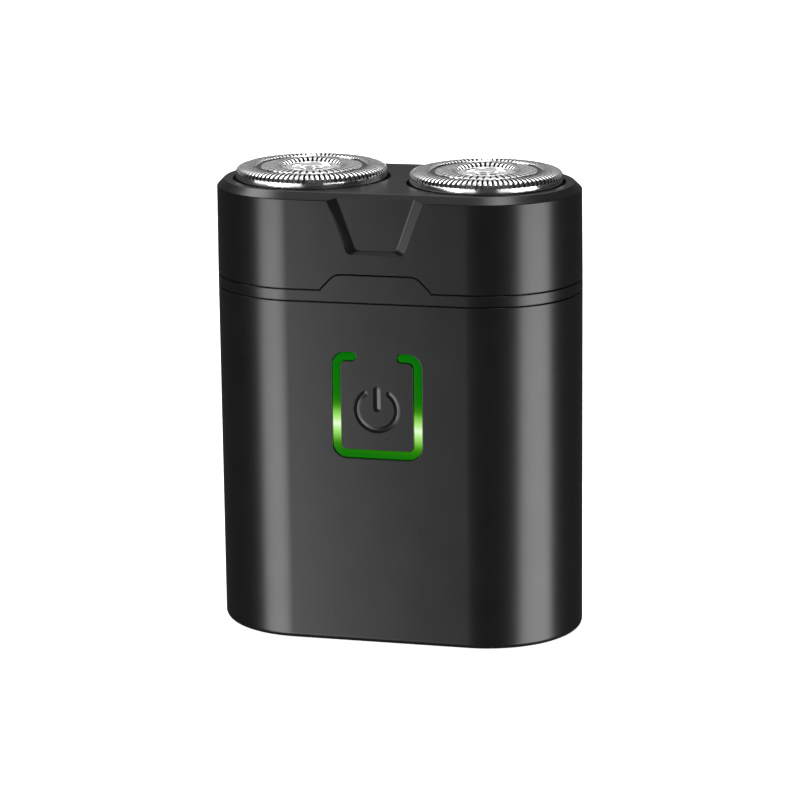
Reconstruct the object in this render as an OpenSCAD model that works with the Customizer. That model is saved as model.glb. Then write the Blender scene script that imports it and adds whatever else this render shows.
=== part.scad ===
// Twin-head rotary travel shaver, millimetres, base on z = 0, front toward -Y.
// Lower body: shell, lit inlay, press key, cell, boards, motor, gear train, two sprung spindles.
// Lift-off head: housing, retainer and two floating steel caps, each over its own spinning cutter.

/* [Overall] */
// Width of the body across both heads
body_w = 60; // [58:1:76]
// Depth of the body, front to back
body_d = 31; // [30:0.5:32]
// Height of the lower body shell
shell_h = 56.4; // [56:0.2:70]
// Height of the lift-off head above the collar
head_h = 15.4; // [15:0.2:19]
// Height of the collar band between body and head
collar_h = 1.9; // [1.7:0.1:3]
// Wall thickness of the moulded shells
wall = 1.6; // [1.3:0.1:2]

/* [Heads] */
// Width of the black rim left around each steel cap
cap_rim = 3.2; // [3:0.1:4.2]
// How far the caps stand above the head
cap_stand = 2; // [1.4:0.1:2.6]
// Sheet thickness of the steel caps
cap_sheet = 0.35; // [0.25:0.05:0.4]
// Radial slots in the outer track of each cap
outer_slots = 90; // [48:6:96]
// Radial slots in the inner track of each cap
inner_slots = 45; // [24:3:48]
// How far a cap can be pushed into the head
cap_float = 1.2; // [0.6:0.1:1.3]
// Blades in the outer ring of each cutter
outer_blades = 12; // [8:1:15]
// Blades in the inner ring of each cutter
inner_blades = 8; // [6:1:9]

/* [Drive] */
// Teeth on each of the two head gears
gear_teeth = 46; // [40:2:50]
// Face width of the gears
gear_t = 2.4; // [1.6:0.1:2.8]
// Radius of the fixed gear axles and of the motor shaft
axle_r = 1; // [0.8:0.05:1.2]
// Across flats of the hexagon that drives each spindle
drive_af = 6; // [5.4:0.1:6.4]
// Radial clearance of turning fits
turn_gap = 0.03; // [0.02:0.01:0.08]
// Side clearance of the sliding hexagons
slide_gap = 0.1; // [0.06:0.01:0.14]

/* [Power] */
// Diameter of the rechargeable cell
cell_d = 14; // [12:0.5:14]
// Length of the rechargeable cell
cell_l = 50; // [40:1:50]
// Thickness of the flat-sided motor
motor_t = 15.4; // [13:0.2:15.6]
// Width of the motor
motor_w = 20.4; // [16:0.2:22]
// Length of the motor
motor_l = 23.2; // [18:0.2:23.2]

/* [Key and inlay] */
// Outer width of the lit frame
inlay_w = 15; // [14:0.2:18]
// Outer height of the lit frame
inlay_h = 17.2; // [16:0.2:20]
// Width of the lit frame's bars
inlay_bar = 1.45; // [1.2:0.05:1.8]
// Radius of the power symbol
icon_r = 3.8; // [3:0.1:4]
// Gap round the press key
key_gap = 0.15; // [0.1:0.01:0.2]

/* [Hidden] */
$fn = 72;
eps = 0.01;

// overall levels and radii
half_d = body_d / 2;
axis_x = (body_w - body_d) / 2;
in_r = half_d - wall;
edge = 0.15;
foot_r = 1;
seat_gap = 0.05;
fit_gap = 0.15;
z_collar = shell_h + collar_h;
z_top = z_collar + head_h;
deck_t = 1.8;
z_deck = z_top - deck_t;
z_cap = z_top + cap_stand;
top_chamfer = 1.15;

// steel caps, cutters and retainer
cap_r = half_d - cap_rim;
hole_r = cap_r + 0.5;
track_r = cap_r * 0.744;
groove_r = cap_r * 0.663;
bowl_r = cap_r * 0.447;
bowl_floor_r = cap_r * 0.398;
hub_r = cap_r * 0.341;
button_r = cap_r * 0.15;
groove_h = 0.45;
bowl_h = 0.6;
slot_w = 0.35;
slot_h = 0.4;
shoulder = 0.35;
rivet_r = 1.2;
seat_lip = 1.1;
seat_t = 1.1;
seat_step = 0.65;
z_seat = z_deck - seat_gap;
blade_gap = 0.1;
blade_t = 0.5;
blade_lean = 0.9;
z_blade = z_cap - cap_sheet - blade_gap;
outer_ring = [track_r + cap_sheet + 0.2, cap_r - cap_sheet - 0.35];
inner_ring = [bowl_r + 0.45, groove_r - cap_sheet - 0.15];
carrier_t = 1;
z_carrier = z_seat - seat_t - cap_float - 0.15 + 1.2;
retainer_t = 1.4;
z_retainer = z_carrier - cap_float - 0.2 - retainer_t;
throat_r = 7.5;
hub_out_r = 3.6;
hub_l = 5.9;
post_y = 7;
post_r = 1.9;
retainer_screw_l = 3.8;
magnet_y = half_d - 4.5;
magnet_r = 1.7;
magnet_t = 1.8;
magnet_post_r = 2.3;
spigot_h = 4;
spigot_t = 1.15;
z_magnet = z_collar + spigot_h + 0.3;

// front details of the head and collar
tab_foot = 9.1;
tab_tip = 6.65;
tab_h = 2.45;
notch_d = 0.7;
notch_top = 8;
notch_foot = 4.65;
notch_facet = 1.75;
z_notch_top = z_top - 1.1;
z_notch = z_top - 9.7;

// gear plate and train
plate_t = 1.6;
z_plate = shell_h - 8.4;
z_gear = z_plate + plate_t + 0.6;
plate_gap = 0.1;
gear_r = body_d * 0.37;
pinion_teeth = floor(2 * (axis_x - gear_r) / (2 * gear_r / gear_teeth));
gear_m = 2 * axis_x / (gear_teeth + pinion_teeth);
gear_shift = 0.25;
backlash = 0.1;
pressure = 20;
half_pitch = 180 / gear_teeth;
hub_base_r = 5;
z_hub = z_gear + gear_t;
hub_h = 4.4;
spring_r = 1.65;
spring_wire = 0.25;
spring_turns = 5;
chamber_r = spring_r + spring_wire + 0.3;
z_chamber = z_hub + 2.3;
z_axle_top = z_chamber - 0.3;
skirt_r = 4.2;
z_skirt = z_hub + cap_float + 0.2;
z_socket = z_hub + hub_h + cap_float + 0.1;
z_umbrella = z_collar + 1.0 + cap_float;
umbrella_t = 0.8;
umbrella_r = 6.4;
z_spindle = z_umbrella + umbrella_t;
z_spring_top = z_umbrella - 0.5;
head_af = 3.8;
z_drive_top = z_carrier - hub_l + 2.5;
seal_t = 1.2;
chimney_in = skirt_r + 0.4;
chimney_out = chimney_in + 1.2;
chimney_h = 0.7;
floor_t = 1.5;
low_spigot_h = 3;
gasket_z = shell_h - 1.9;
gasket_t = 0.9;
gasket_d = 0.7;
lug_x = 11;
lug_w = 5;
lug_d = 0.4;
lug_h = 0.8;

// cell, motor and frame
z_saddle = 8.9;
cell_r = cell_d / 2;
cell_z = z_saddle + 0.6 + cell_r;
cell_gap = 0.05;
z_motor = z_plate - motor_l;
shelf_t = 1;
frame_x = axis_x + 9;
column = [axis_x + 7, 7.5];
column_r = 2.1;
boss_x = axis_x + 5.5;
boss_r = 2.8;
saddle_y = 7.9;
saddle_h = 6.6;
end_cap_t = 1.4;
can_wall = 0.8;
can_boss_r = 3;
can_boss_h = 1.3;
motor_screw_y = 5.5;
armature_r = motor_t / 2 - can_wall - 0.55;
screw_r = 0.85;
screw_head_r = 1.6;
screw_head_t = 0.8;

// boards, socket, switch and key
board_t = 1;
board_y = -(half_d - wall - 5.3);
board_w = 22;
socket_w = 8.94;
socket_d = 3.26;
socket_wall = 0.3;
z_socket_foot = 0.5;
charge_board = [20, 12, 1];
z_charge = z_saddle - charge_board[2];
z_inlay = z_plate + 0.2 - inlay_h;
z_icon = z_inlay + 8;
inlay_r = 2.2;
inlay_in_r = 0.9;
horn_gap = 3.43;
inlay_inset = 0.06;
flange_t = 1;
flange_w = 1.1;
led_z = z_inlay + 5.2;
led_x = inlay_w / 2 - inlay_bar / 2;
led = [1.6, 0.8, 1.2];
switch_w = 4.5;
switch_d = 3;
plunger_r = 1.2;
plunger_out = 0.82;
plunger_in = 0.8;
key_t = 1.4;
key_pin_r = 0.8;
pin_gap = 0.03;
icon_stroke = 0.8;
icon_d = 0.3;
icon_gap = 38;

// colours
black = [0.05, 0.05, 0.055];
grey = [0.25, 0.26, 0.27];
steel = [0.78, 0.79, 0.8];
green = [0.02, 0.45, 0.05];
board_green = [0.05, 0.3, 0.15];
brass = [0.75, 0.62, 0.3];
copper = [0.7, 0.4, 0.2];
rubber = [0.12, 0.12, 0.13];
white_resin = [0.88, 0.88, 0.85];

// ---- shared shapes ----

// A round-ended solid: the profile (r, z) swept round both ends and along both sides.
module racetrack(profile) {
    for (turn = [0, 180])
        rotate([0, 0, turn]) translate([axis_x, 0, 0]) rotate([0, 0, -90])
            rotate_extrude(angle = 180) polygon(profile);
    for (side = [0, 1])
        mirror([0, side, 0]) rotate([90, 0, 90])
            linear_extrude(height = 2 * axis_x, center = true) polygon(profile);
}

// A plain band of that outline between two radii and two levels.
module band(r_in, r_out, z0, z1) {
    racetrack([[r_in, z0], [r_out, z0], [r_out, z1], [r_in, z1]]);
}

// A solid disc standing between two levels.
module disc(r, z0, z1) {
    translate([0, 0, z0]) cylinder(r = r, h = z1 - z0);
}

// A hexagonal bar between two levels, given across its flats.
module hex_bar(af, z0, z1) {
    translate([0, 0, z0]) cylinder(r = af / sqrt(3), h = z1 - z0, $fn = 6);
}

// A box given by its low corner and its high corner.
module block(low, high) {
    translate(low) cube(high - low);
}

// A flat outline drawn in x and z, pushed from one y to another.
module slab(y0, y1) {
    translate([0, y1, 0]) rotate([90, 0, 0]) linear_extrude(height = y1 - y0) children();
}

// A rectangle with rounded corners, standing on its lower edge.
module soft_rect(w, h, r) {
    translate([-w / 2 + r, 0]) square([w - 2 * r, h]);
    translate([-w / 2, r]) square([w, h - 2 * r]);
    for (x = [-1, 1], z = [r, h - r]) translate([x * (w / 2 - r), z]) circle(r = r);
}

// A countersunk screw hanging down from its head's top face.
module screw(z, l, gap = 0) {
    rotate_extrude() polygon([[0, z], [screw_head_r + gap, z], [screw_r + gap, z - screw_head_t],
        [screw_r + gap, z - l], [0, z - l]]);
}

// ---- gear teeth ----

function inv(a) = tan(a) - a * PI / 180;
function half_tooth(n, x) = (PI / 2 + 2 * x * tan(pressure)) / n - backlash / (2 * gear_m * n);
function flank(n, x, r) = let (base = gear_m * n / 2 * cos(pressure))
    (half_tooth(n, x) + inv(pressure) - (r > base ? inv(acos(base / r)) : 0)) * 180 / PI;
function radii(n, x) = let (pitch = gear_m * n / 2, base = pitch * cos(pressure),
    root = pitch + gear_m * (x - 1.25), tip = pitch + gear_m * (1 + x), low = max(root, base))
    [root, low, low + (tip - low) * 0.3, low + (tip - low) * 0.65, tip];
function teeth(n, x) = [for (i = [0 : n - 1], s = [-1, 1], k = [0 : 4])
    let (rr = radii(n, x), r = rr[s < 0 ? k : 4 - k], a = i * 360 / n + s * flank(n, x, r))
    [r * cos(a), r * sin(a)]];

module toothed(n, x, z0, z1) {
    translate([0, 0, z0]) linear_extrude(height = z1 - z0) polygon(teeth(n, x));
}

// ---- coil spring ----

function ring_at(i, steps, z0, z1) = let (a = 360 * spring_turns * i / steps,
    z = z0 + spring_wire + (z1 - z0 - 2 * spring_wire) * i / steps)
    [for (k = [0 : 5]) let (r = spring_r + spring_wire * cos(60 * k))
        [r * cos(a), r * sin(a), z + spring_wire * sin(60 * k)]];

module coil(z0, z1) {
    steps = spring_turns * 16;
    points = [for (i = [0 : steps]) each ring_at(i, steps, z0, z1)];
    sides = [for (i = [0 : steps - 1], k = [0 : 5])
        [6 * i + k, 6 * i + (k + 1) % 6, 6 * i + 6 + (k + 1) % 6, 6 * i + 6 + k]];
    ends = [[5, 4, 3, 2, 1, 0], [for (k = [0 : 5]) 6 * steps + k]];
    polyhedron(points = points, faces = concat(sides, ends), convexity = 8);
}

// ---- lower body ----

module body_shell() color(black) difference() {
    union() {
        racetrack([[0, 0], [half_d - foot_r, 0], [half_d - foot_r / 2, foot_r * 0.134],
            [half_d - foot_r * 0.134, foot_r / 2], [half_d, foot_r], [half_d, shell_h - edge],
            [half_d - edge, shell_h], [in_r, shell_h], [in_r, wall], [0, wall]]);
    }
    slab(-half_d - 1, -in_r + 1) translate([0, z_inlay]) soft_rect(inlay_w, inlay_h, inlay_r);
    for (x = [-1, 1]) {
        translate([x * boss_x, 0, 0]) rotate([180, 0, 0]) screw(-0.2, wall + 1, fit_gap);
        translate([x * boss_x, 0, -1]) cylinder(r = screw_head_r + fit_gap, h = 1.2 + eps);
        for (y = [-1, 1]) block([x * lug_x - lug_w / 2 - 0.1, y * (in_r + lug_d / 2) - lug_d / 2 - 0.1,
            shell_h - low_spigot_h - 0.1], [x * lug_x + lug_w / 2 + 0.1,
            y * (in_r + lug_d / 2) + lug_d / 2 + 0.1, shell_h - low_spigot_h + lug_h + 0.1]);
    }
    translate([0, 0, -1]) linear_extrude(height = wall + 2)
        socket_outline(socket_w + 2 * fit_gap, socket_d + 2 * fit_gap);
}

module socket_outline(w, d) {
    square([w - d, d], center = true);
    for (x = [-1, 1]) translate([x * (w - d) / 2, 0]) circle(r = d / 2);
}

module collar() color(black) difference() {
    union() {
        racetrack([[0, z_collar - floor_t], [in_r - spigot_t, z_collar - floor_t],
            [in_r - spigot_t, shell_h - low_spigot_h], [in_r - seat_gap, shell_h - low_spigot_h],
            [in_r - seat_gap, gasket_z], [in_r - gasket_d, gasket_z],
            [in_r - gasket_d, gasket_z + gasket_t], [in_r - seat_gap, gasket_z + gasket_t],
            [in_r - seat_gap, shell_h], [half_d - edge, shell_h], [half_d, shell_h + edge],
            [half_d, z_collar - edge], [half_d - edge, z_collar], [in_r - fit_gap, z_collar],
            [in_r - fit_gap, z_collar + spigot_h], [in_r - spigot_t, z_collar + spigot_h],
            [in_r - spigot_t, z_collar], [0, z_collar]]);
        slab(-half_d, -in_r + spigot_t) tab_outline(0);
        for (x = [-1, 1]) translate([x * axis_x, 0, 0])
            disc(chimney_out, z_collar - eps, z_collar + chimney_h);
        for (y = [-1, 1]) translate([0, y * magnet_y, 0])
            disc(magnet_post_r, z_collar - eps, z_magnet);
        for (x = [-1, 1], y = [-1, 1])
            block([x * lug_x - lug_w / 2, y * (in_r - seat_gap) - (y > 0 ? eps : lug_d),
                shell_h - low_spigot_h], [x * lug_x + lug_w / 2,
                y * (in_r - seat_gap) + (y > 0 ? lug_d : eps), shell_h - low_spigot_h + lug_h]);
    }
    for (x = [-1, 1]) translate([x * axis_x, 0, 0])
        disc(chimney_in, z_collar - floor_t - 1, z_collar + chimney_h + 1);
    for (y = [-1, 1]) translate([0, y * magnet_y, 0])
        disc(magnet_r, z_magnet - magnet_t, z_magnet + 1);
}

module tab_outline(gap) {
    polygon([[-tab_foot - gap, z_collar - edge], [tab_foot + gap, z_collar - edge],
        [tab_tip + gap, z_collar + tab_h + gap], [-tab_tip - gap, z_collar + tab_h + gap]]);
}

module collar_gasket() color(rubber)
    band(in_r - gasket_d, in_r, gasket_z + seat_gap, gasket_z + gasket_t - seat_gap);

module collar_magnets() color(steel)
    for (y = [-1, 1]) translate([0, y * magnet_y, 0])
        disc(magnet_r, z_magnet - magnet_t, z_magnet);

module inlay_outline(grow) {
    difference() {
        translate([0, z_inlay - grow])
            soft_rect(inlay_w + 2 * grow, inlay_h + grow - (grow > 0 ? 1.4 : 0), inlay_r);
        translate([0, z_inlay + inlay_bar])
            soft_rect(inlay_w - 2 * inlay_bar, inlay_h - 2 * inlay_bar, inlay_in_r);
        translate([-horn_gap, z_inlay + inlay_h / 2]) square([2 * horn_gap, inlay_h]);
    }
}

module light_guide() color(green) {
    slab(-half_d + inlay_inset, -in_r + eps) inlay_outline(0);
    difference() {
        slab(-in_r, -in_r + flange_t) inlay_outline(flange_w);
        slab(-in_r - 1, -in_r + flange_t + 1) translate([-inlay_w / 2 + inlay_bar, z_inlay + inlay_bar])
            square([inlay_w - 2 * inlay_bar, inlay_h]);
    }
    for (x = [-1, 1]) slab(-in_r + flange_t - eps, board_y - board_t - led[1])
        translate([x * led_x - led[0] / 2, led_z - led[2] / 2]) square([led[0], led[2]]);
}

module inner_frame() color(grey) difference() {
    union() {
        block([-frame_x, -saddle_y, z_saddle], [frame_x, saddle_y, z_saddle + saddle_h]);
        block([-frame_x, board_y - board_t - 0.3, z_motor - shelf_t],
            [frame_x, -board_y - 0.1, z_motor]);
        for (x = [-1, 1]) {
            translate([x * boss_x, 0, 0]) disc(boss_r, wall, z_saddle + 0.3);
            for (y = [-1, 1]) translate([x * column[0], y * column[1], 0])
                disc(column_r, z_saddle, z_plate);
        }
    }
    translate([0, 0, cell_z]) rotate([0, 90, 0])
        cylinder(r = cell_r + cell_gap, h = 3 * frame_x, center = true);
    for (x = [-1, 1]) {
        translate([x * boss_x, 0, 0]) disc(screw_r + turn_gap, wall - 1, 8.2);
        for (y = [-1, 1]) translate([x * column[0], y * column[1], 0])
            disc(screw_r + turn_gap, z_plate - 6, z_plate + 1);
    }
}

module gear_plate() color(grey) difference() {
    band(0, in_r - plate_gap, z_plate, z_plate + plate_t);
    disc(can_boss_r + seat_gap, z_plate - 1, z_plate + plate_t + 1);
    for (x = [-1, 1]) {
        translate([x * axis_x, 0, 0]) disc(axle_r, z_plate - 1, z_plate + plate_t + 1);
        for (y = [-1, 1]) translate([x * column[0], y * column[1], 0])
            screw(z_plate + plate_t + eps, plate_t + 1, turn_gap);
    }
    for (y = [-1, 1]) translate([0, y * motor_screw_y, 0])
        screw(z_plate + plate_t + eps, plate_t + 1, turn_gap);
}

module gear_axles() color(steel)
    for (x = [-1, 1]) translate([x * axis_x, 0, 0]) disc(axle_r, z_plate, z_axle_top);

module spindle_seals() color(rubber)
    for (x = [-1, 1]) translate([x * axis_x, 0, 0]) difference() {
        disc(chimney_in, z_collar - floor_t + 0.3, z_collar - floor_t + 0.3 + seal_t);
        disc(skirt_r + seat_gap, z_collar - floor_t, z_collar + seal_t);
    }

module motor_outline(cut) intersection() {
    circle(r = motor_w / 2 - cut);
    square([motor_w, motor_t - 2 * cut], center = true);
}

module motor_can() color(steel) difference() {
    union() {
        translate([0, 0, z_motor + end_cap_t])
            linear_extrude(height = motor_l - end_cap_t) motor_outline(0);
        disc(can_boss_r, z_plate - eps, z_plate + can_boss_h);
    }
    translate([0, 0, z_motor]) linear_extrude(height = motor_l - can_wall) motor_outline(can_wall);
    disc(axle_r + turn_gap, z_plate - 2, z_plate + 3);
    for (y = [-1, 1]) translate([0, y * motor_screw_y, 0])
        disc(screw_r + turn_gap, z_plate - 2, z_plate + 1);
}

module motor_end_cap() color(black) difference() {
    translate([0, 0, z_motor]) linear_extrude(height = end_cap_t) motor_outline(0);
    disc(axle_r + turn_gap, z_motor - 1, z_motor + end_cap_t + 1);
}

module motor_magnets() color(grey) translate([0, 0, z_motor + 4]) linear_extrude(height = 15)
    difference() {
        intersection() {
            motor_outline(can_wall);
            union() for (x = [-1, 1]) translate([x * motor_w / 2, 0])
                square([motor_w * 0.6, 2 * armature_r * 0.96], center = true);
        }
        circle(r = armature_r + 0.45);
    }

module battery_cell() color([0.15, 0.35, 0.55]) translate([0, 0, cell_z]) rotate([0, 90, 0])
    cylinder(r = cell_r, h = cell_l, center = true);

module battery_tabs() color(steel) for (x = [-1, 1]) {
    block([x * (cell_l / 2 + 0.1) - 0.1, -2, cell_z - 4],
        [x * (cell_l / 2 + 0.1) + 0.1, 2, cell_z + 3]);
}

module main_board() color(board_green)
    block([-board_w / 2, board_y - board_t, z_motor], [board_w / 2, board_y, z_plate]);

module board_parts() color(black) {
    y = board_y - board_t;
    block([-2.5, y - 1, z_motor + 2], [2.5, y, z_motor + 7]);
    block([-9.5, y - 1.4, z_motor + 1.5], [-6.5, y, z_motor + 5.5]);
    block([6.2, y - 1.2, z_motor + 2], [9.4, y, z_motor + 4]);
    block([-9.6, y - 0.6, z_motor + 14], [-8, y, z_motor + 14.8]);
    block([8, y - 0.6, z_motor + 15], [9.6, y, z_motor + 15.8]);
    block([-3, y - 0.9, z_plate - 4.2], [3, y, z_plate - 2.4]);
}

module leds() color(white_resin) for (x = [-1, 1])
    block([x * led_x - led[0] / 2, board_y - board_t - led[1], led_z - led[2] / 2],
        [x * led_x + led[0] / 2, board_y - board_t, led_z + led[2] / 2]);

module switch_body() color(black) difference() {
    block([-switch_w / 2, board_y - board_t - switch_d, z_icon - switch_w / 2],
        [switch_w / 2, board_y - board_t, z_icon + switch_w / 2]);
    translate([0, board_y - board_t - switch_d + plunger_in + 0.6, z_icon]) rotate([90, 0, 0])
        cylinder(r = plunger_r + turn_gap, h = switch_d);
}

module charge_board() color(board_green)
    block([-charge_board[0] / 2, -charge_board[1] / 2, z_charge],
        [charge_board[0] / 2, charge_board[1] / 2, z_saddle]);

module charge_parts() color(black) {
    block([-9, -5, z_charge - 0.9], [-6, -2.6, z_charge]);
    block([-8.6, 1.5, z_charge - 1.2], [-6.4, 4.5, z_charge]);
    block([6, -4.6, z_charge - 1], [8.6, -1.6, z_charge]);
    block([6.4, 1.4, z_charge - 0.6], [8, 2.2, z_charge]);
}

module usb_shell() color(steel) difference() {
    translate([0, 0, z_socket_foot]) linear_extrude(height = z_charge - z_socket_foot)
        socket_outline(socket_w, socket_d);
    translate([0, 0, z_socket_foot - 1]) linear_extrude(height = z_charge - z_socket_foot)
        socket_outline(socket_w - 2 * socket_wall, socket_d - 2 * socket_wall);
}

module usb_tongue() color(black)
    block([-3.35, -0.35, z_socket_foot + 0.8], [3.35, 0.35, z_charge - 1]);

module frame_screws() color(steel) for (x = [-1, 1])
    translate([x * boss_x, 0, 0]) rotate([180, 0, 0]) screw(-0.3, 7.4);

module deck_screws() color(steel) for (x = [-1, 1], y = [-1, 1])
    translate([x * column[0], y * column[1], 0]) screw(z_plate + plate_t, 6.5);

module motor_screws() color(steel) for (y = [-1, 1])
    translate([0, y * motor_screw_y, 0]) screw(z_plate + plate_t, 2.8);

// ---- key and switch plunger ----

module power_symbol() {
    mid = icon_r - icon_stroke / 2;
    difference() {
        circle(r = icon_r);
        circle(r = icon_r - icon_stroke);
        polygon([[0, 0], [-2 * icon_r * sin(icon_gap), 2 * icon_r * cos(icon_gap)],
            [2 * icon_r * sin(icon_gap), 2 * icon_r * cos(icon_gap)]]);
    }
    for (x = [-1, 1])
        translate([x * mid * sin(icon_gap), mid * cos(icon_gap)]) circle(r = icon_stroke / 2);
    translate([-icon_stroke * 0.75, 0]) square([icon_stroke * 1.5, icon_r]);
}

module power_key() color(black) {
    difference() {
        slab(-half_d, -half_d + key_t) {
            translate([0, z_inlay + inlay_bar + key_gap])
                soft_rect(inlay_w - 2 * (inlay_bar + key_gap), inlay_h - 2 * (inlay_bar + key_gap),
                    inlay_in_r);
            translate([-horn_gap + key_gap, z_inlay + inlay_h / 2])
                square([2 * (horn_gap - key_gap), inlay_h / 2 - 0.1]);
        }
        slab(-half_d - 1, -half_d + icon_d) translate([0, z_icon]) power_symbol();
    }
    translate([0, board_y - board_t - switch_d - plunger_out - pin_gap, z_icon]) rotate([90, 0, 0])
        cylinder(r = key_pin_r, h = board_y - board_t - switch_d - plunger_out - pin_gap
            + half_d - key_t + eps);
}

module switch_plunger() color(white_resin)
    translate([0, board_y - board_t - switch_d + plunger_in, z_icon]) rotate([90, 0, 0])
        cylinder(r = plunger_r, h = plunger_in + plunger_out);

// ---- motor rotor ----

module motor_shaft() color(steel) disc(axle_r, z_motor + 0.3, z_hub + 0.4);

module armature() color(copper) difference() {
    disc(armature_r, z_motor + 5, z_motor + 18);
    disc(axle_r, z_motor, z_plate);
    for (i = [0 : 2]) rotate([0, 0, 120 * i + 60]) {
        block([2.4, -0.6, z_motor], [armature_r + 1, 0.6, z_plate]);
        block([3, -1.6, z_motor], [armature_r - 1.2, 1.6, z_plate]);
    }
}

module commutator() color(brass) difference() {
    disc(2, z_motor + 2, z_motor + 4.6);
    disc(axle_r, z_motor, z_plate);
}

module pinion() color(brass) difference() {
    toothed(pinion_teeth, gear_shift, z_gear, z_hub);
    disc(axle_r, z_plate, z_hub + 1);
}

// ---- gears, spindles and springs, drawn for the axis at the origin ----

module head_gear(phase) difference() {
    union() {
        rotate([0, 0, phase]) toothed(gear_teeth, -gear_shift, z_gear, z_hub);
        disc(hub_base_r, z_gear, z_hub + 0.1);
        hex_bar(drive_af, z_gear, z_hub + hub_h);
    }
    disc(axle_r + turn_gap, z_gear - 1, z_chamber + 1);
    disc(chamber_r, z_chamber, z_hub + hub_h + 1);
    for (i = [0 : 5]) rotate([0, 0, 60 * i]) translate([gear_r * 0.68, 0, 0])
        disc(gear_r * 0.13, z_gear - 1, z_hub + 1);
}

module spindle() difference() {
    union() {
        disc(skirt_r, z_skirt, z_spindle);
        disc(umbrella_r, z_umbrella, z_spindle);
        hex_bar(head_af, z_umbrella, z_drive_top);
    }
    hex_bar(drive_af + 2 * slide_gap, z_skirt - 1, z_socket);
    disc(chamber_r, z_skirt, z_spring_top);
}

module gear_left() color(white_resin) translate([-axis_x, 0, 0])
    head_gear(pinion_teeth % 2 == 0 ? half_pitch : 0);
module gear_right() color(white_resin) translate([axis_x, 0, 0]) head_gear(half_pitch);
module spindle_left() color(grey) translate([-axis_x, 0, 0]) spindle();
module spindle_right() color(grey) translate([axis_x, 0, 0]) spindle();
module spring_left() color(steel) translate([-axis_x, 0, 0]) coil(z_chamber, z_spring_top);
module spring_right() color(steel) translate([axis_x, 0, 0]) coil(z_chamber, z_spring_top);

// ---- lift-off head ----

module notch_side(side) mirror([side, 0, 0]) {
    lean = atan((notch_top - notch_foot) / (z_notch_top - z_notch));
    slope = notch_facet / notch_d;
    translate([notch_foot, 0, z_notch]) rotate([0, lean, 0]) translate([0, 0, -20])
        linear_extrude(height = 50) polygon([[-30, -half_d - 1], [slope, -half_d - 1],
            [-notch_facet, -half_d + notch_d], [-30, -half_d + notch_d]]);
}

module front_notch() intersection() {
    notch_side(0);
    notch_side(1);
    rotate([90, 0, 90]) linear_extrude(height = 40, center = true)
        polygon([[-half_d - 1, z_notch - 1], [-half_d + notch_d, z_notch + notch_d],
            [-half_d + notch_d, z_top + 5], [-half_d - 1, z_top + 5]]);
}

module head_housing() color(black) difference() {
    union() {
        racetrack([[0, z_deck], [in_r, z_deck], [in_r, z_collar], [half_d - edge, z_collar],
            [half_d, z_collar + edge], [half_d, z_top - top_chamfer],
            [half_d - top_chamfer, z_top], [0, z_top]]);
        for (y = [-1, 1]) translate([0, y * post_y, 0])
            disc(post_r, z_retainer + retainer_t, z_deck + eps);
    }
    for (x = [-1, 1]) translate([x * axis_x, 0, 0]) disc(hole_r, z_deck - 1, z_top + 1);
    for (y = [-1, 1]) translate([0, y * post_y, 0])
        disc(screw_r + turn_gap, z_retainer, z_deck + 0.4);
    slab(-half_d - 1, -in_r + 1) tab_outline(fit_gap);
    front_notch();
}

module retainer() color(grey) difference() {
    union() {
        band(0, in_r - seat_gap, z_retainer, z_retainer + retainer_t);
        for (y = [-1, 1]) translate([0, y * magnet_y, 0])
            disc(magnet_post_r, z_magnet + 0.1, z_retainer + eps);
    }
    for (x = [-1, 1]) {
        translate([x * axis_x, 0, 0]) disc(throat_r, z_retainer - 1, z_retainer + 3);
        for (a = [-60, 60]) translate([x * axis_x, 0, 0]) rotate([0, 0, a + (x > 0 ? 0 : 180)])
            translate([10.6, 0, 0]) disc(1.8, z_retainer - 1, z_retainer + 3);
    }
    for (y = [-1, 1]) {
        translate([0, y * magnet_y, 0]) disc(magnet_r, z_magnet - 1, z_magnet + 0.1 + magnet_t);
        translate([0, y * post_y, 0]) rotate([180, 0, 0])
            screw(-z_retainer + eps, retainer_t + 1, turn_gap);
    }
}

module head_magnets() color(steel) for (y = [-1, 1]) translate([0, y * magnet_y, 0])
    disc(magnet_r, z_magnet + 0.1, z_magnet + 0.1 + magnet_t);

module retainer_screws() color(steel) for (y = [-1, 1])
    translate([0, y * post_y, 0]) rotate([180, 0, 0]) screw(-z_retainer, retainer_screw_l);

// ---- caps and cutters, drawn for the axis at the origin ----

module slots(count, r0, r1) for (i = [0 : count - 1]) rotate([0, 0, i * 360 / count])
    block([r0, -slot_w / 2, z_cap - slot_h], [r1, slot_w / 2, z_cap + 1]);

module cap() difference() {
    s = cap_sheet;
    rotate_extrude() polygon([[cap_r, z_seat - seat_step], [cap_r, z_cap - shoulder],
        [cap_r - shoulder * 0.3, z_cap - shoulder * 0.3], [cap_r - shoulder, z_cap],
        [track_r, z_cap], [track_r, z_cap - groove_h], [groove_r, z_cap - groove_h],
        [groove_r, z_cap], [bowl_r, z_cap], [bowl_floor_r, z_cap - bowl_h],
        [rivet_r, z_cap - bowl_h], [rivet_r, z_cap - bowl_h - s],
        [bowl_floor_r + 0.2, z_cap - bowl_h - s], [bowl_r + 0.2, z_cap - s],
        [groove_r - s, z_cap - s], [groove_r - s, z_cap - groove_h - s],
        [track_r + s, z_cap - groove_h - s], [track_r + s, z_cap - s],
        [cap_r - s, z_cap - s], [cap_r - s, z_seat - seat_step]]);
    slots(outer_slots, track_r - 0.1, cap_r + 1);
    slots(inner_slots, bowl_floor_r, groove_r + 0.1);
}

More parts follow.
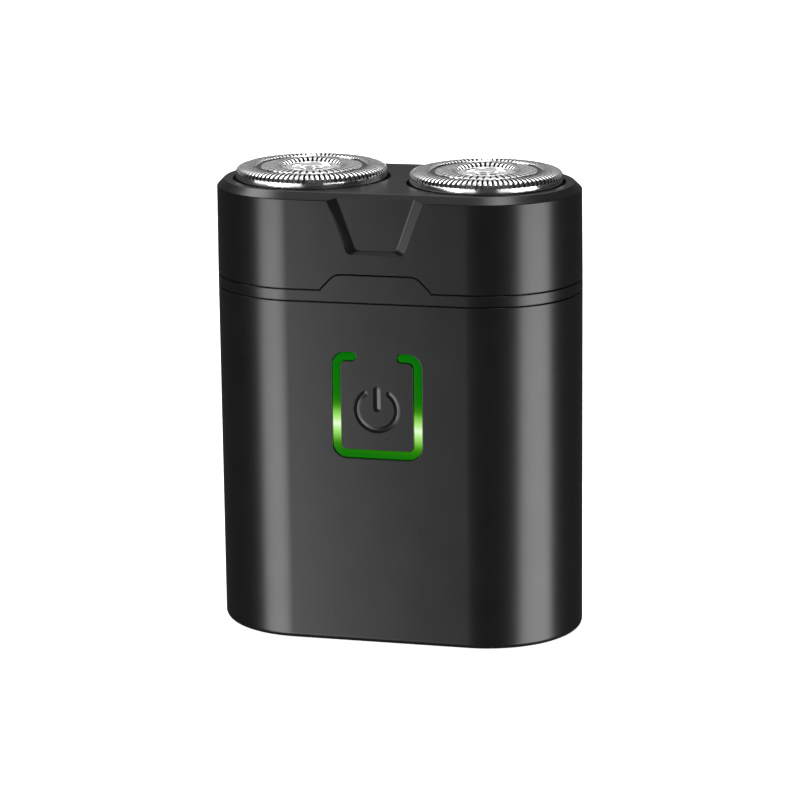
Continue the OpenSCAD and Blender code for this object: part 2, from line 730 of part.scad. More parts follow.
module cap_hub() {
    rotate_extrude() polygon([[0, z_cap - bowl_h], [hub_r, z_cap - bowl_h],
        [hub_r, z_cap - bowl_h + 0.3], [hub_r - 0.35, z_cap - bowl_h + 0.3],
        [hub_r - 0.35, z_cap - bowl_h + 0.2], [button_r, z_cap - bowl_h + 0.2],
        [button_r, z_cap - 0.15], [button_r - 0.15, z_cap - 0.05], [0, z_cap - 0.05]]);
    disc(rivet_r, z_cap - bowl_h - cap_sheet - eps, z_cap - bowl_h + eps);
    disc(rivet_r + 0.6, z_cap - bowl_h - cap_sheet - 0.4, z_cap - bowl_h - cap_sheet);
}

module cap_seat() rotate_extrude() polygon([[cap_r - cap_sheet - 0.15, z_seat - seat_t],
    [cap_r + seat_lip, z_seat - seat_t], [cap_r + seat_lip, z_seat], [cap_r, z_seat],
    [cap_r, z_seat - seat_step], [cap_r - cap_sheet - 0.15, z_seat - seat_step]]);

module blade_ring(count, ring) for (i = [0 : count - 1]) rotate([0, 0, i * 360 / count])
    translate([ring[0], 0, 0]) rotate([90, 0, 90]) linear_extrude(height = ring[1] - ring[0])
        polygon([[0, z_carrier + carrier_t + 0.2], [blade_t, z_carrier + carrier_t + 0.2],
            [blade_t + blade_lean, z_blade], [blade_lean, z_blade]]);

module cutter() {
    difference() {
        disc(outer_ring[1] + 0.1, z_carrier + carrier_t, z_carrier + carrier_t + 0.4);
        disc(inner_ring[0] - 0.6, z_carrier, z_carrier + 3);
    }
    blade_ring(outer_blades, outer_ring);
    blade_ring(inner_blades, inner_ring);
}

module carrier() difference() {
    union() {
        disc(outer_ring[1] - 0.3, z_carrier, z_carrier + carrier_t);
        disc(hub_out_r, z_carrier - hub_l, z_carrier + eps);
        disc(inner_ring[0] - 0.65, z_carrier, z_carrier + carrier_t + 0.6);
    }
    hex_bar(head_af + 2 * slide_gap, z_carrier - hub_l - 1, z_drive_top + seat_gap);
}

module cap_left() color(steel) translate([-axis_x, 0, 0]) cap();
module cap_right() color(steel) translate([axis_x, 0, 0]) cap();
module cap_hub_left() color(steel) translate([-axis_x, 0, 0]) cap_hub();
module cap_hub_right() color(steel) translate([axis_x, 0, 0]) cap_hub();
module cap_seat_left() color(black) translate([-axis_x, 0, 0]) cap_seat();
module cap_seat_right() color(black) translate([axis_x, 0, 0]) cap_seat();
module cutter_left() color(steel) translate([-axis_x, 0, 0]) cutter();
module cutter_right() color(steel) translate([axis_x, 0, 0]) cutter();
module carrier_left() color(white_resin) translate([-axis_x, 0, 0]) carrier();
module carrier_right() color(white_resin) translate([axis_x, 0, 0]) carrier();

body_shell();
collar();
collar_gasket();
collar_magnets();
light_guide();
inner_frame();
gear_plate();
gear_axles();
spindle_seals();
motor_can();
motor_end_cap();
motor_magnets();
battery_cell();
battery_tabs();
main_board();
board_parts();
leds();
switch_body();
charge_board();
charge_parts();
usb_shell();
usb_tongue();
frame_screws();
deck_screws();
motor_screws();
power_key();
switch_plunger();
motor_shaft();
armature();
commutator();
pinion();
gear_left();
gear_right();
spindle_left();
spindle_right();
spring_left();
spring_right();
head_housing();
retainer();
head_magnets();
retainer_screws();
cap_left();
cap_right();
cap_hub_left();
cap_hub_right();
cap_seat_left();
cap_seat_right();
cutter_left();
cutter_right();
carrier_left();
carrier_right();
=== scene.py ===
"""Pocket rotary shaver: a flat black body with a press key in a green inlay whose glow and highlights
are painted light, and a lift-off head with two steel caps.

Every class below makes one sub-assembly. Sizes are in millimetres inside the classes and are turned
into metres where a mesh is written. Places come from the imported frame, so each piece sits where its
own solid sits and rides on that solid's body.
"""

import logging
import math
from dataclasses import dataclass, field, replace
from enum import Enum
from typing import Protocol, Sequence

import bmesh
import bpy
from mathutils import Matrix, Vector


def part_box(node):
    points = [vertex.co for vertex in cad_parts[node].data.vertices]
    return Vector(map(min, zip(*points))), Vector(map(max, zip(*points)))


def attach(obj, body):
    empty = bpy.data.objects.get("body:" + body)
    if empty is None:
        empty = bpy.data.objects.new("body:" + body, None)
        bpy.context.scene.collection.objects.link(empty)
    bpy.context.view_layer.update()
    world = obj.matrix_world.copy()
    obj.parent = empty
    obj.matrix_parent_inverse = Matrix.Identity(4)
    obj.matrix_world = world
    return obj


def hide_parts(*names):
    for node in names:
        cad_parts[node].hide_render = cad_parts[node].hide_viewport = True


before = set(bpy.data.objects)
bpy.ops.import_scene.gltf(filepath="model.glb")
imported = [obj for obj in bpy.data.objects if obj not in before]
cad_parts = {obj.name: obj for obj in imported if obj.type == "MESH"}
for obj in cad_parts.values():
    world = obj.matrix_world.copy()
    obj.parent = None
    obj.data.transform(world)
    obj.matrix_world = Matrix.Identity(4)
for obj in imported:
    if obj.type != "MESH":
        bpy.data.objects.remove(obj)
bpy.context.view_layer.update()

LOG = logging.getLogger("shaver")
MM = 0.001
Point = tuple[float, float]
Colour = tuple[float, float, float]


# ---------------------------------------------------------------------------------------------
# Outlines and profiles
# ---------------------------------------------------------------------------------------------


def soften_path(corners: Sequence[tuple[float, float, float]], steps: int = 5) -> list[Point]:
    """Rounds the inner corners of an open path.

    Args:
        corners: (u, v, radius) of each corner; the first and last stay where they are.
        steps: straight pieces in each rounding.

    Returns:
        The points of the rounded path.
    """
    path: list[Point] = [(corners[0][0], corners[0][1])]
    for before, here, after in zip(corners, corners[1:], corners[2:]):
        path += round_corner(before, here, after, here[2], steps)
    path.append((corners[-1][0], corners[-1][1]))
    return path


def round_corner(
    before: Sequence[float], here: Sequence[float], after: Sequence[float], radius: float, steps: int
) -> list[Point]:
    """Gives the arc that rounds one corner.

    Args:
        before: the corner before it.
        here: the corner itself.
        after: the corner after it.
        radius: radius of the rounding.
        steps: straight pieces in the arc.

    Returns:
        Points from one tangent point to the other, or the corner alone if it stays sharp.
    """
    centre = Vector((here[0], here[1]))
    back = (Vector((before[0], before[1])) - centre).normalized()
    on = (Vector((after[0], after[1])) - centre).normalized()
    half = back.angle(on, math.pi) / 2
    if radius <= 1e-6 or half > math.pi / 2 - 1e-3:
        return [(here[0], here[1])]
    reach = radius / math.tan(half)
    hub = centre + (back + on).normalized() * (radius / math.sin(half))
    start, end = centre + back * reach - hub, centre + on * reach - hub
    turn = start.angle_signed(end)
    points: list[Point] = []
    for i in range(steps + 1):
        angle = -turn * i / steps
        spun = Vector(
            (
                start.x * math.cos(angle) - start.y * math.sin(angle),
                start.x * math.sin(angle) + start.y * math.cos(angle),
            )
        )
        points.append((hub.x + spun.x, hub.y + spun.y))
    return points


class Shape(Protocol):
    """A closed flat outline that can be grown or shrunk."""

    def points(self, grow: float) -> list[Point]:
        """Gives the outline's points.

        Args:
            grow: how far the outline's edge moves outward.

        Returns:
            The points, counter-clockwise.
        """
        ...


@dataclass(frozen=True)
class Outline:
    """A closed outline of straight runs and rounded corners, listed counter-clockwise."""

    corners: tuple[tuple[float, float, float], ...]
    steps: int = 8

    def points(self, grow: float) -> list[Point]:
        """Grows every run outward and rounds the new corners.

        Args:
            grow: how far each run moves outward.

        Returns:
            The outline's points, always as many whatever the growth.
        """
        count = len(self.corners)
        moved: list[tuple[float, float, float]] = []
        for i, (u, v, radius) in enumerate(self.corners):
            before, after = self.corners[i - 1], self.corners[(i + 1) % count]
            run_in = Vector((u - before[0], v - before[1])).normalized()
            run_out = Vector((after[0] - u, after[1] - v)).normalized()
            cross = run_in.x * run_out.y - run_in.y * run_out.x
            out_a, out_b = Vector((run_in.y, -run_in.x)), Vector((run_out.y, -run_out.x))
            shift = (out_a + out_b) * (grow / (1 + out_a.dot(out_b)))
            bend = 1 if cross > 0 else -1
            new_radius = 0.0 if radius <= 0 else max(radius + bend * grow, 0.02)
            moved.append((u + shift.x, v + shift.y, new_radius))
        path: list[Point] = []
        for i, corner in enumerate(moved):
            path += round_corner(
                moved[i - 1], corner, moved[(i + 1) % count], corner[2], self.steps
            )
        return path


@dataclass(frozen=True)
class Disc:
    """A round outline."""

    centre: Point
    radius: float
    steps: int = 96

    def points(self, grow: float) -> list[Point]:
        """Gives the circle's points at the grown radius.

        Args:
            grow: how far the edge moves outward.

        Returns:
            The points, counter-clockwise.
        """
        reach = self.radius + grow
        return [
            (
                self.centre[0] + reach * math.cos(math.tau * i / self.steps),
                self.centre[1] + reach * math.sin(math.tau * i / self.steps),
            )
            for i in range(self.steps)
        ]


@dataclass(frozen=True)
class OpenRing:
    """A round-ended stroke that follows a circle and leaves a gap at the top."""

    centre: Point
    radius: float
    stroke: float
    gap_deg: float
    steps: int = 72

    def points(self, grow: float) -> list[Point]:
        """Gives the stroke's outline, counter-clockwise.

        Args:
            grow: how far the stroke's edge moves outward.

        Returns:
            The outline's points.
        """
        half = self.stroke / 2 + grow
        first, last = 90 + self.gap_deg, 450 - self.gap_deg
        path: list[Point] = []
        for i in range(self.steps + 1):
            path.append(self._at(first + (last - first) * i / self.steps, self.radius + half))
        path += self._cap(last, half, 0)
        for i in range(self.steps + 1):
            path.append(self._at(last + (first - last) * i / self.steps, self.radius - half))
        return path + self._cap(first, half, 180)

    def _at(self, angle_deg: float, reach: float) -> Point:
        """Gives a point on a circle round the ring's centre.

        Args:
            angle_deg: its angle.
            reach: its distance from the centre.

        Returns:
            The point.
        """
        angle = math.radians(angle_deg)
        return (
            self.centre[0] + reach * math.cos(angle),
            self.centre[1] + reach * math.sin(angle),
        )

    def _cap(self, angle_deg: float, half: float, offset: float) -> list[Point]:
        """Gives the inner points of the half circle that ends the stroke.

        Args:
            angle_deg: where the stroke ends.
            half: radius of the half circle.
            offset: the angle that the half circle starts from, counted from the stroke's end.

        Returns:
            The points.
        """
        hub = self._at(angle_deg, self.radius)
        points: list[Point] = []
        for i in range(1, 10):
            angle = math.radians(angle_deg + offset + 18 * i)
            points.append((hub[0] + half * math.cos(angle), hub[1] + half * math.sin(angle)))
        return points


def rectangle(width: float, height: float, radius: float, foot: float, centre: float = 0) -> Outline:
    """Gives a rounded rectangle that stands on a level.

    Args:
        width: size across.
        height: size up from the foot.
        radius: corner radius.
        foot: the level of the lower edge.
        centre: where its middle stands across.

    Returns:
        The outline.
    """
    low, high, half = foot, foot + height, width / 2
    return Outline(
        (
            (centre - half, low, radius),
            (centre + half, low, radius),
            (centre + half, high, radius),
            (centre - half, high, radius),
        )
    )


# ---------------------------------------------------------------------------------------------
# Mesh making
# ---------------------------------------------------------------------------------------------


class Facing(Enum):
    """Which way the open side of a cut or a pushed-out shape looks."""

    FRONT = "front"
    TOP = "top"
    BOTTOM = "bottom"

    def place(self, u: float, v: float, depth: float, face: float) -> Vector:
        """Puts a flat point at a depth behind a face.

        Args:
            u: place across.
            v: place up the outline's plane.
            depth: how far behind the face.
            face: where the face stands on its own axis.

        Returns:
            The point in millimetres.
        """
        if self is Facing.FRONT:
            return Vector((u, face + depth, v))
        if self is Facing.TOP:
            return Vector((u, v, face - depth))
        return Vector((u, v, face + depth))


def mouth(rounding: float, depth: float, foot: float = 0.0, inset: float = 0.0) -> list[Point]:
    """Gives the stations of a cut whose mouth and foot are rounded.

    Args:
        rounding: radius of the rounding at the mouth.
        depth: how deep the cut goes.
        foot: radius of the rounding at its bottom.
        inset: growth of the whole cut.

    Returns:
        (depth, growth) pairs from in front of the face to the bottom.
    """
    stations: list[Point] = [(-1.0, rounding + inset)]
    for i in range(7):
        angle = math.pi / 2 * i / 6
        stations.append(
            (rounding * (1 - math.cos(angle)), rounding * (1 - math.sin(angle)) + inset)
        )
    if foot <= 0:
        return stations + [(depth, inset)]
    for i in range(6):
        angle = math.pi / 2 * i / 5
        stations.append(
            (depth - foot + foot * math.sin(angle), inset - foot * (1 - math.cos(angle)))
        )
    return stations


def crown(rounding: float, depth: float, rise: float = 0.0) -> list[Point]:
    """Gives the stations of a solid that stands behind its face with a rounded front edge.

    Args:
        rounding: radius of the rounding round the front face.
        depth: thickness of the solid.
        rise: how much the front swells over its middle.

    Returns:
        (depth, growth) pairs from the front face to the back.
    """
    stations: list[Point] = []
    if rise > 0:
        stations += [(0.0, -rounding * 3.2), (rise * 0.25, -rounding * 2.0)]
    for i in range(7):
        angle = math.pi / 2 * i / 6
        stations.append(
            (rise + rounding * (1 - math.cos(angle)), -rounding * (1 - math.sin(angle)))
        )
    return stations + [(depth, 0.0)]


def skin(
    rings: Sequence[Sequence[Vector]], name: str, ends: bool = True, loop: bool = False
) -> bpy.types.Object:
    """Stretches a skin over rings that all have as many points.

    Args:
        rings: the rings, in millimetres.
        name: the object's name.
        ends: whether the first and last rings are closed with a face.
        loop: whether the last ring joins the first.

    Returns:
        The new object.
    """
    mesh = bmesh.new()
    rows = [[mesh.verts.new(point * MM) for point in ring] for ring in rings]
    count = len(rows[0])
    pairs = list(zip(rows, rows[1:])) + ([(rows[-1], rows[0])] if loop else [])
    for low, high in pairs:
        for i in range(count):
            j = (i + 1) % count
            mesh.faces.new((low[i], low[j], high[j], high[i]))
    if ends and not loop:
        mesh.faces.new(rows[0])
        mesh.faces.new(list(reversed(rows[-1])))
    bmesh.ops.remove_doubles(mesh, verts=mesh.verts, dist=1e-9)
    bmesh.ops.dissolve_degenerate(mesh, edges=mesh.edges, dist=1e-9)
    bmesh.ops.recalc_face_normals(mesh, faces=mesh.faces)
    return to_object(mesh, name)


def to_object(mesh: bmesh.types.BMesh, name: str) -> bpy.types.Object:
    """Writes an edited mesh into a new object and frees it.

    Args:
        mesh: the edited mesh.
        name: the object's name.

    Returns:
        The new object.
    """
    data = bpy.data.meshes.new(name)
    mesh.to_mesh(data)
    mesh.free()
    thing = bpy.data.objects.new(name, data)
    bpy.context.scene.collection.objects.link(thing)
    return thing


def plug(
    shape: Shape, stations: Sequence[Point], facing: Facing, face: float, name: str
) -> bpy.types.Object:
    """Makes a closed solid by stacking one outline at several depths and growths.

    Args:
        shape: the outline.
        stations: (depth, growth) pairs.
        facing: which way its front looks.
        face: where the front stands.
        name: the object's name.

    Returns:
        The new object.
    """
    rings = [
        [facing.place(u, v, depth, face) for u, v in shape.points(grow)]
        for depth, grow in stations
    ]
    return skin(rings, name)


def racetrack(
    axis_x: float, radius: float, height: float, arc: int = 72, flat: int = 12
) -> list[Vector]:
    """Gives one round-ended ring of the body's outline.

    Args:
        axis_x: distance of each end's centre from the middle.
        radius: radius of the ends.
        height: how high the ring lies.
        arc: pieces in each half circle.
        flat: pieces in each straight side.

    Returns:
        The ring's points, counter-clockwise from above.
    """
    ring: list[Vector] = []
    for side in (1, -1):
        start = -90 if side > 0 else 90
        for i in range(arc + 1):
            angle = math.radians(start + 180 * i / arc)
            ring.append(
                Vector((side * axis_x + radius * math.cos(angle), radius * math.sin(angle), height))
            )
        for i in range(1, flat):
            ring.append(Vector((side * axis_x * (1 - 2 * i / flat), side * radius, height)))
    return ring


def sweep(axis_x: float, path: Sequence[Point], name: str) -> bpy.types.Object:
    """Carries a profile round the body's outline and closes its two ends.

    Args:
        axis_x: distance of each end's centre from the middle.
        path: (radius, height) points of the profile.
        name: the object's name.

    Returns:
        The new object.
    """
    return skin([racetrack(axis_x, r, z) for r, z in path], name)


def lathe(
    centre: Point, path: Sequence[Point], name: str, steps: int = 96, loop: bool = False
) -> bpy.types.Object:
    """Turns a profile about an upright axis.

    Args:
        centre: where the axis stands.
        path: (radius, height) points of the profile; a radius of nothing ends in a point.
        name: the object's name.
        steps: pieces round the axis.
        loop: whether the profile closes on itself.

    Returns:
        The new object.
    """
    rings = []
    for radius, height in path:
        circle = Disc(centre, max(radius, 1e-4), steps).points(0.0)
        rings.append([Vector((x, y, height)) for x, y in circle])
    return skin(rings, name, ends=not loop, loop=loop)


def settle(thing: bpy.types.Object) -> None:
    """Replaces an object's mesh with what its modifiers make of it.

    Args:
        thing: the object, whose modifiers are then removed.
    """
    graph = bpy.context.evaluated_depsgraph_get()
    graph.update()
    data = bpy.data.meshes.new_from_object(thing.evaluated_get(graph))
    thing.modifiers.clear()
    thing.data = data


def carve(thing: bpy.types.Object, cutters: Sequence[bpy.types.Object]) -> None:
    """Cuts several solids out of an object and throws them away.

    Args:
        thing: the object that is cut.
        cutters: the solids.
    """
    combine(thing, cutters, "DIFFERENCE")


def combine(thing: bpy.types.Object, others: Sequence[bpy.types.Object], how: str) -> None:
    """Applies one exact boolean after another.

    Args:
        thing: the object that is kept.
        others: the objects that act on it and are then removed.
        how: the kind of boolean.
    """
    for other in others:
        step = thing.modifiers.new(other.name, "BOOLEAN")
        step.operation, step.solver, step.object = how, "EXACT", other
    settle(thing)
    for other in others:
        data = other.data
        bpy.data.objects.remove(other)
        bpy.data.meshes.remove(data)


def join(parts: Sequence[bpy.types.Object], name: str) -> bpy.types.Object:
    """Puts several closed meshes into one object.

    Args:
        parts: the objects to put together, which are removed.
        name: the new object's name.

    Returns:
        The new object.
    """
    mesh = bmesh.new()
    for part in parts:
        mesh.from_mesh(part.data)
    for part in parts:
        data = part.data
        bpy.data.objects.remove(part)
        bpy.data.meshes.remove(data)
    return to_object(mesh, name)


def polish(thing: bpy.types.Object, crease_deg: float = 32.0) -> bpy.types.Object:
    """Shades an object smooth up to a crease angle and weights its normals by face area.

    Args:
        thing: the object.
        crease_deg: edges that turn more than this stay sharp.

    Returns:
        The same object.
    """
    mesh = bmesh.new()
    mesh.from_mesh(thing.data)
    limit = math.radians(crease_deg)
    for face in mesh.faces:
        face.smooth = True
    for edge in mesh.edges:
        edge.smooth = not (len(edge.link_faces) == 2 and edge.calc_face_angle(0) > limit)
    mesh.to_mesh(thing.data)
    mesh.free()
    weigh = thing.modifiers.new("weigh", "WEIGHTED_NORMAL")
    weigh.keep_sharp, weigh.weight, weigh.thresh = True, 95, 1e-7
    return thing


# ---------------------------------------------------------------------------------------------
# Finishes
# ---------------------------------------------------------------------------------------------


class Grain(Enum):
    """How the fine texture of a finish runs."""

    EVEN = "even"
    ROUND = "round"
    ALONG_X = "along_x"
    UPRIGHT = "upright"


@dataclass(frozen=True)
class Finish:
    """One surface finish, built from noise at two scales."""

    name: str
    colour: Colour
    roughness: float
    metallic: float = 0.0
    ior: float = 1.5
    grain: Grain = Grain.EVEN
    grain_size: float = 0.25
    grain_depth: float = 0.002
    mottle: float = 0.15
    mottle_size: float = 6.0
    rough_spread: float = 0.05
    coat: float = 0.0
    centre: Point = (0.0, 0.0)

    def build(self) -> bpy.types.Material:
        """Makes the material.

        Returns:
            The finished node material.
        """
        material = bpy.data.materials.new(self.name)
        material.use_nodes = True
        tree = material.node_tree
        shader = tree.nodes["Principled BSDF"]
        shader.inputs["Metallic"].default_value = self.metallic
        shader.inputs["IOR"].default_value = self.ior
        shader.inputs["Coat Weight"].default_value = self.coat
        shader.inputs["Coat Roughness"].default_value = 0.08
        place = self._place(tree)
        self._paint(tree, shader)
        self._roughen(tree, shader, place)
        self._emboss(tree, shader, place)
        self.extend(tree, shader)
        return material

    def shared(self) -> bpy.types.Material:
        """Gives the finish's material, which is made once."""
        return bpy.data.materials.get(self.name) or self.build()

    def extend(self, tree: bpy.types.NodeTree, shader: bpy.types.Node) -> None:
        """Adds what a special finish needs; a plain one adds nothing.

        Args:
            tree: the material's nodes.
            shader: its shader.
        """

    def _place(self, tree: bpy.types.NodeTree) -> bpy.types.NodeSocket:
        """Gives the coordinates that the fine texture follows.

        Args:
            tree: the material's nodes.

        Returns:
            The coordinates.
        """
        where = tree.nodes.new("ShaderNodeTexCoord").outputs["Object"]
        if self.grain is Grain.EVEN:
            return where
        if self.grain is Grain.ROUND:
            shift = tree.nodes.new("ShaderNodeVectorMath")
            shift.operation = "SUBTRACT"
            shift.inputs[1].default_value = (self.centre[0] * MM, self.centre[1] * MM, 0)
            tree.links.new(where, shift.inputs[0])
            flat = tree.nodes.new("ShaderNodeVectorMath")
            flat.operation = "MULTIPLY"
            flat.inputs[1].default_value = (1, 1, 0)
            tree.links.new(shift.outputs[0], flat.inputs[0])
            reach = tree.nodes.new("ShaderNodeVectorMath")
            reach.operation = "LENGTH"
            tree.links.new(flat.outputs[0], reach.inputs[0])
            split = tree.nodes.new("ShaderNodeSeparateXYZ")
            tree.links.new(where, split.inputs[0])
            gather = tree.nodes.new("ShaderNodeCombineXYZ")
            tree.links.new(reach.outputs["Value"], gather.inputs["X"])
            tree.links.new(split.outputs["Z"], gather.inputs["Z"])
            return gather.outputs[0]
        stretch = tree.nodes.new("ShaderNodeMapping")
        stretch.inputs["Scale"].default_value = (
            (0.04, 1, 1) if self.grain is Grain.ALONG_X else (1, 1, 0.04)
        )
        tree.links.new(where, stretch.inputs["Vector"])
        return stretch.outputs[0]

    @staticmethod
    def _noise(
        tree: bpy.types.NodeTree, place: bpy.types.NodeSocket, size: float, detail: float
    ) -> bpy.types.NodeSocket:
        """Gives a noise.

        Args:
            tree: the material's nodes.
            place: the coordinates it follows.
            size: about how many millimetres its features are across.
            detail: how many finer layers it holds.

        Returns:
            The noise's value.
        """
        noise = tree.nodes.new("ShaderNodeTexNoise")
        noise.inputs["Scale"].default_value = 1 / (size * MM)
        noise.inputs["Detail"].default_value = detail
        noise.inputs["Roughness"].default_value = 0.55
        tree.links.new(place, noise.inputs["Vector"])
        return noise.outputs["Fac"]

    def _paint(self, tree: bpy.types.NodeTree, shader: bpy.types.Node) -> None:
        """Sets the base colour, a little lighter and darker from spot to spot.

        Args:
            tree: the material's nodes.
            shader: its shader.
        """
        where = tree.nodes.new("ShaderNodeTexCoord").outputs["Object"]
        ramp = tree.nodes.new("ShaderNodeValToRGB")
        ramp.color_ramp.elements[0].position = 0.3
        ramp.color_ramp.elements[1].position = 0.7
        for element, shift in zip(ramp.color_ramp.elements, (1 - self.mottle, 1 + self.mottle)):
            element.color = (*(min(c * shift, 1.0) for c in self.colour), 1)
        tree.links.new(self._noise(tree, where, self.mottle_size, 4), ramp.inputs[0])
        tree.links.new(ramp.outputs[0], shader.inputs["Base Color"])

    def _roughen(
        self, tree: bpy.types.NodeTree, shader: bpy.types.Node, place: bpy.types.NodeSocket
    ) -> None:
        """Sets the roughness, which drifts with handling and moulding flow.

        Args:
            tree: the material's nodes.
            shader: its shader.
            place: the coordinates of the fine texture.
        """
        spread = tree.nodes.new("ShaderNodeMapRange")
        spread.inputs["From Min"].default_value = 0.3
        spread.inputs["From Max"].default_value = 0.7
        spread.inputs["To Min"].default_value = max(self.roughness - self.rough_spread, 0.03)
        spread.inputs["To Max"].default_value = min(self.roughness + self.rough_spread, 1.0)
        noise = self._noise(tree, place, max(self.grain_size * 8, 1.0), 5)
        tree.links.new(noise, spread.inputs["Value"])
        tree.links.new(spread.outputs[0], shader.inputs["Roughness"])

    def _emboss(
        self, tree: bpy.types.NodeTree, shader: bpy.types.Node, place: bpy.types.NodeSocket
    ) -> None:
        """Adds the fine relief of the mould, brush or grind.

        Args:
            tree: the material's nodes.
            shader: its shader.
            place: the coordinates of the fine texture.
        """
        bump = tree.nodes.new("ShaderNodeBump")
        bump.inputs["Strength"].default_value = 1.0
        bump.inputs["Distance"].default_value = self.grain_depth * MM
        tree.links.new(self._noise(tree, place, self.grain_size, 3), bump.inputs["Height"])
        tree.links.new(bump.outputs[0], shader.inputs["Normal"])


@dataclass(frozen=True)
class PaintedLightResin(Finish):
    """Green inlay whose emission is painted light: a painted highlight round one level on each upright
    bar, fading into an even green glow.
    """

    highlight_level: float = 36.15
    highlight_tilt: float = 0.051
    power: float = 1.0
    # near-white painted highlight at the highlight level, fading out into an even painted green glow
    stops: tuple[tuple[float, Colour], ...] = (
        (0.0, (0.86, 1.0, 0.74)),
        (0.7, (0.52, 0.95, 0.28)),
        (2.2, (0.12, 0.48, 0.015)),
        (3.2, (0.02, 0.2, 0.0)),
        (4.8, (0.0, 0.15, 0.0)),
        (12.0, (0.0, 0.14, 0.0)),
    )

    def extend(self, tree: bpy.types.NodeTree, shader: bpy.types.Node) -> None:
        """Adds the painted light: a near-white painted highlight round the highlight level on each bar,
        fading with distance into an even green glow.

        Args:
            tree: the material's nodes.
            shader: its shader.
        """
        where = tree.nodes.new("ShaderNodeTexCoord").outputs["Object"]
        split = tree.nodes.new("ShaderNodeSeparateXYZ")
        tree.links.new(where, split.inputs[0])
        # the level leans across the inlay so the two bars' painted highlights sit at different heights
        lean = self._sum(tree, "MULTIPLY", split.outputs["X"], self.highlight_tilt)
        level = self._sum(tree, "ADD", split.outputs["Z"], -self.highlight_level * MM)
        both = tree.nodes.new("ShaderNodeMath")
        both.operation = "ADD"
        tree.links.new(lean, both.inputs[0])
        tree.links.new(level, both.inputs[1])
        away = self._sum(tree, "ABSOLUTE", both.outputs[0], 0.0)
        reach = self.stops[-1][0]
        share = self._sum(tree, "DIVIDE", away, reach * MM)
        ramp = tree.nodes.new("ShaderNodeValToRGB")
        elements = ramp.color_ramp.elements
        while len(elements) < len(self.stops):
            elements.new(0.5)
        for element, (distance, colour) in zip(elements, self.stops):
            element.position = distance / reach
            element.color = (*colour, 1)
        ramp.color_ramp.interpolation = "B_SPLINE"
        tree.links.new(share, ramp.inputs[0])
        tree.links.new(ramp.outputs[0], shader.inputs["Emission Color"])
        shader.inputs["Emission Strength"].default_value = self.power

    @staticmethod
    def _sum(
        tree: bpy.types.NodeTree, how: str, value: bpy.types.NodeSocket, other: float
    ) -> bpy.types.NodeSocket:
        """Puts a value through one step of arithmetic.

        Args:
            tree: the material's nodes.
            how: the kind of step.
            value: what goes in.
            other: the step's second number.

        Returns:
            What comes out.
        """
        step = tree.nodes.new("ShaderNodeMath")
        step.operation = how
        tree.links.new(value, step.inputs[0])
        step.inputs[1].default_value = other
        return step.outputs[0]


SATIN_BLACK = Finish(
    "satin_black",
    (0.0035, 0.0035, 0.0037),
    0.285,
    grain_size=0.6,
    grain_depth=0.0003,
    mottle=0.08,
    rough_spread=0.012,
)
KEY_BLACK = replace(SATIN_BLACK, name="key_black")
SEAT_BLACK = Finish("seat_black", (0.006, 0.006, 0.006), 0.5, grain_size=0.2, mottle=0.2)
RUBBER = Finish(
    "seal_rubber", (0.02, 0.02, 0.021), 0.7, grain_size=0.15, grain_depth=0.006, mottle=0.25
)
FRAME_GREY = Finish("moulded_grey", (0.055, 0.056, 0.06), 0.48, grain_size=0.22, grain_depth=0.004)
ACETAL = Finish("natural_acetal", (0.78, 0.77, 0.72), 0.36, grain_size=0.3, mottle=0.04)
GROUND_STEEL = Finish(
    "ground_steel",
    (0.56, 0.56, 0.57),
    0.26,
    metallic=1.0,
    grain=Grain.UPRIGHT,
    grain_size=0.05,
    mottle=0.1,
    rough_spread=0.08,
)
# steel darkened as painted shade, so the cutters seen through the cap slots read dark
CUTTER_STEEL_SHADE_DARKENED = Finish(
    "cutter_steel",
    (0.3, 0.3, 0.31),
    0.35,
    metallic=1.0,
    grain_size=0.1,
    mottle=0.12,
    rough_spread=0.08,
)
# dark steel that paints shade on the caps' slot sides, their inside and the groove between the tracks
SHADE_PAINTED_STEEL = Finish(
    "painted_shade_steel", (0.02, 0.02, 0.021), 0.55, metallic=0.6, grain_size=0.08, mottle=0.3
)
NICKEL = Finish("nickel_plate", (0.6, 0.58, 0.54), 0.16, metallic=1.0, grain_size=0.3, mottle=0.06)
BLACKENED = Finish(
    "blackened_steel",
    (0.09, 0.09, 0.095),
    0.34,
    metallic=1.0,
    grain_size=0.12,
    mottle=0.2,
    rough_spread=0.08,
)
MOTOR_STEEL = Finish(
    "zinc_plate",
    (0.6, 0.61, 0.62),
    0.3,
    metallic=1.0,
    grain=Grain.ALONG_X,
    grain_size=0.2,
    mottle=0.1,
)
COPPER = Finish(
    "lacquered_copper",
    (0.62, 0.26, 0.1),
    0.3,
    metallic=1.0,
    grain=Grain.UPRIGHT,
    grain_size=0.16,
    grain_depth=0.03,
    mottle=0.2,
)
BRASS = Finish("cut_brass", (0.68, 0.48, 0.2), 0.26, metallic=1.0, grain_size=0.1, mottle=0.1)
SLEEVE = Finish("cell_sleeve", (0.03, 0.12, 0.3), 0.25, grain_size=0.4, mottle=0.1, coat=0.4)
BOARD = Finish(
    "solder_mask",
    (0.012, 0.1, 0.04),
    0.3,
    grain=Grain.UPRIGHT,
    grain_size=0.35,
    grain_depth=0.02,
    mottle=0.35,
    mottle_size=1.2,
    coat=0.3,
)
CHIP = Finish("chip_resin", (0.018, 0.018, 0.02), 0.45, grain_size=0.12, mottle=0.2)
LAMP = Finish("lamp_resin", (0.8, 0.8, 0.74), 0.2, grain_size=0.3, mottle=0.04, coat=0.5)
# emission paints the inlay's highlights and its green glow
INLAY = PaintedLightResin(
    "painted_highlight_inlay", (0.0, 0.01, 0.0), 0.35, ior=1.1, grain_size=0.4, grain_depth=0.0006, mottle=0.05
)


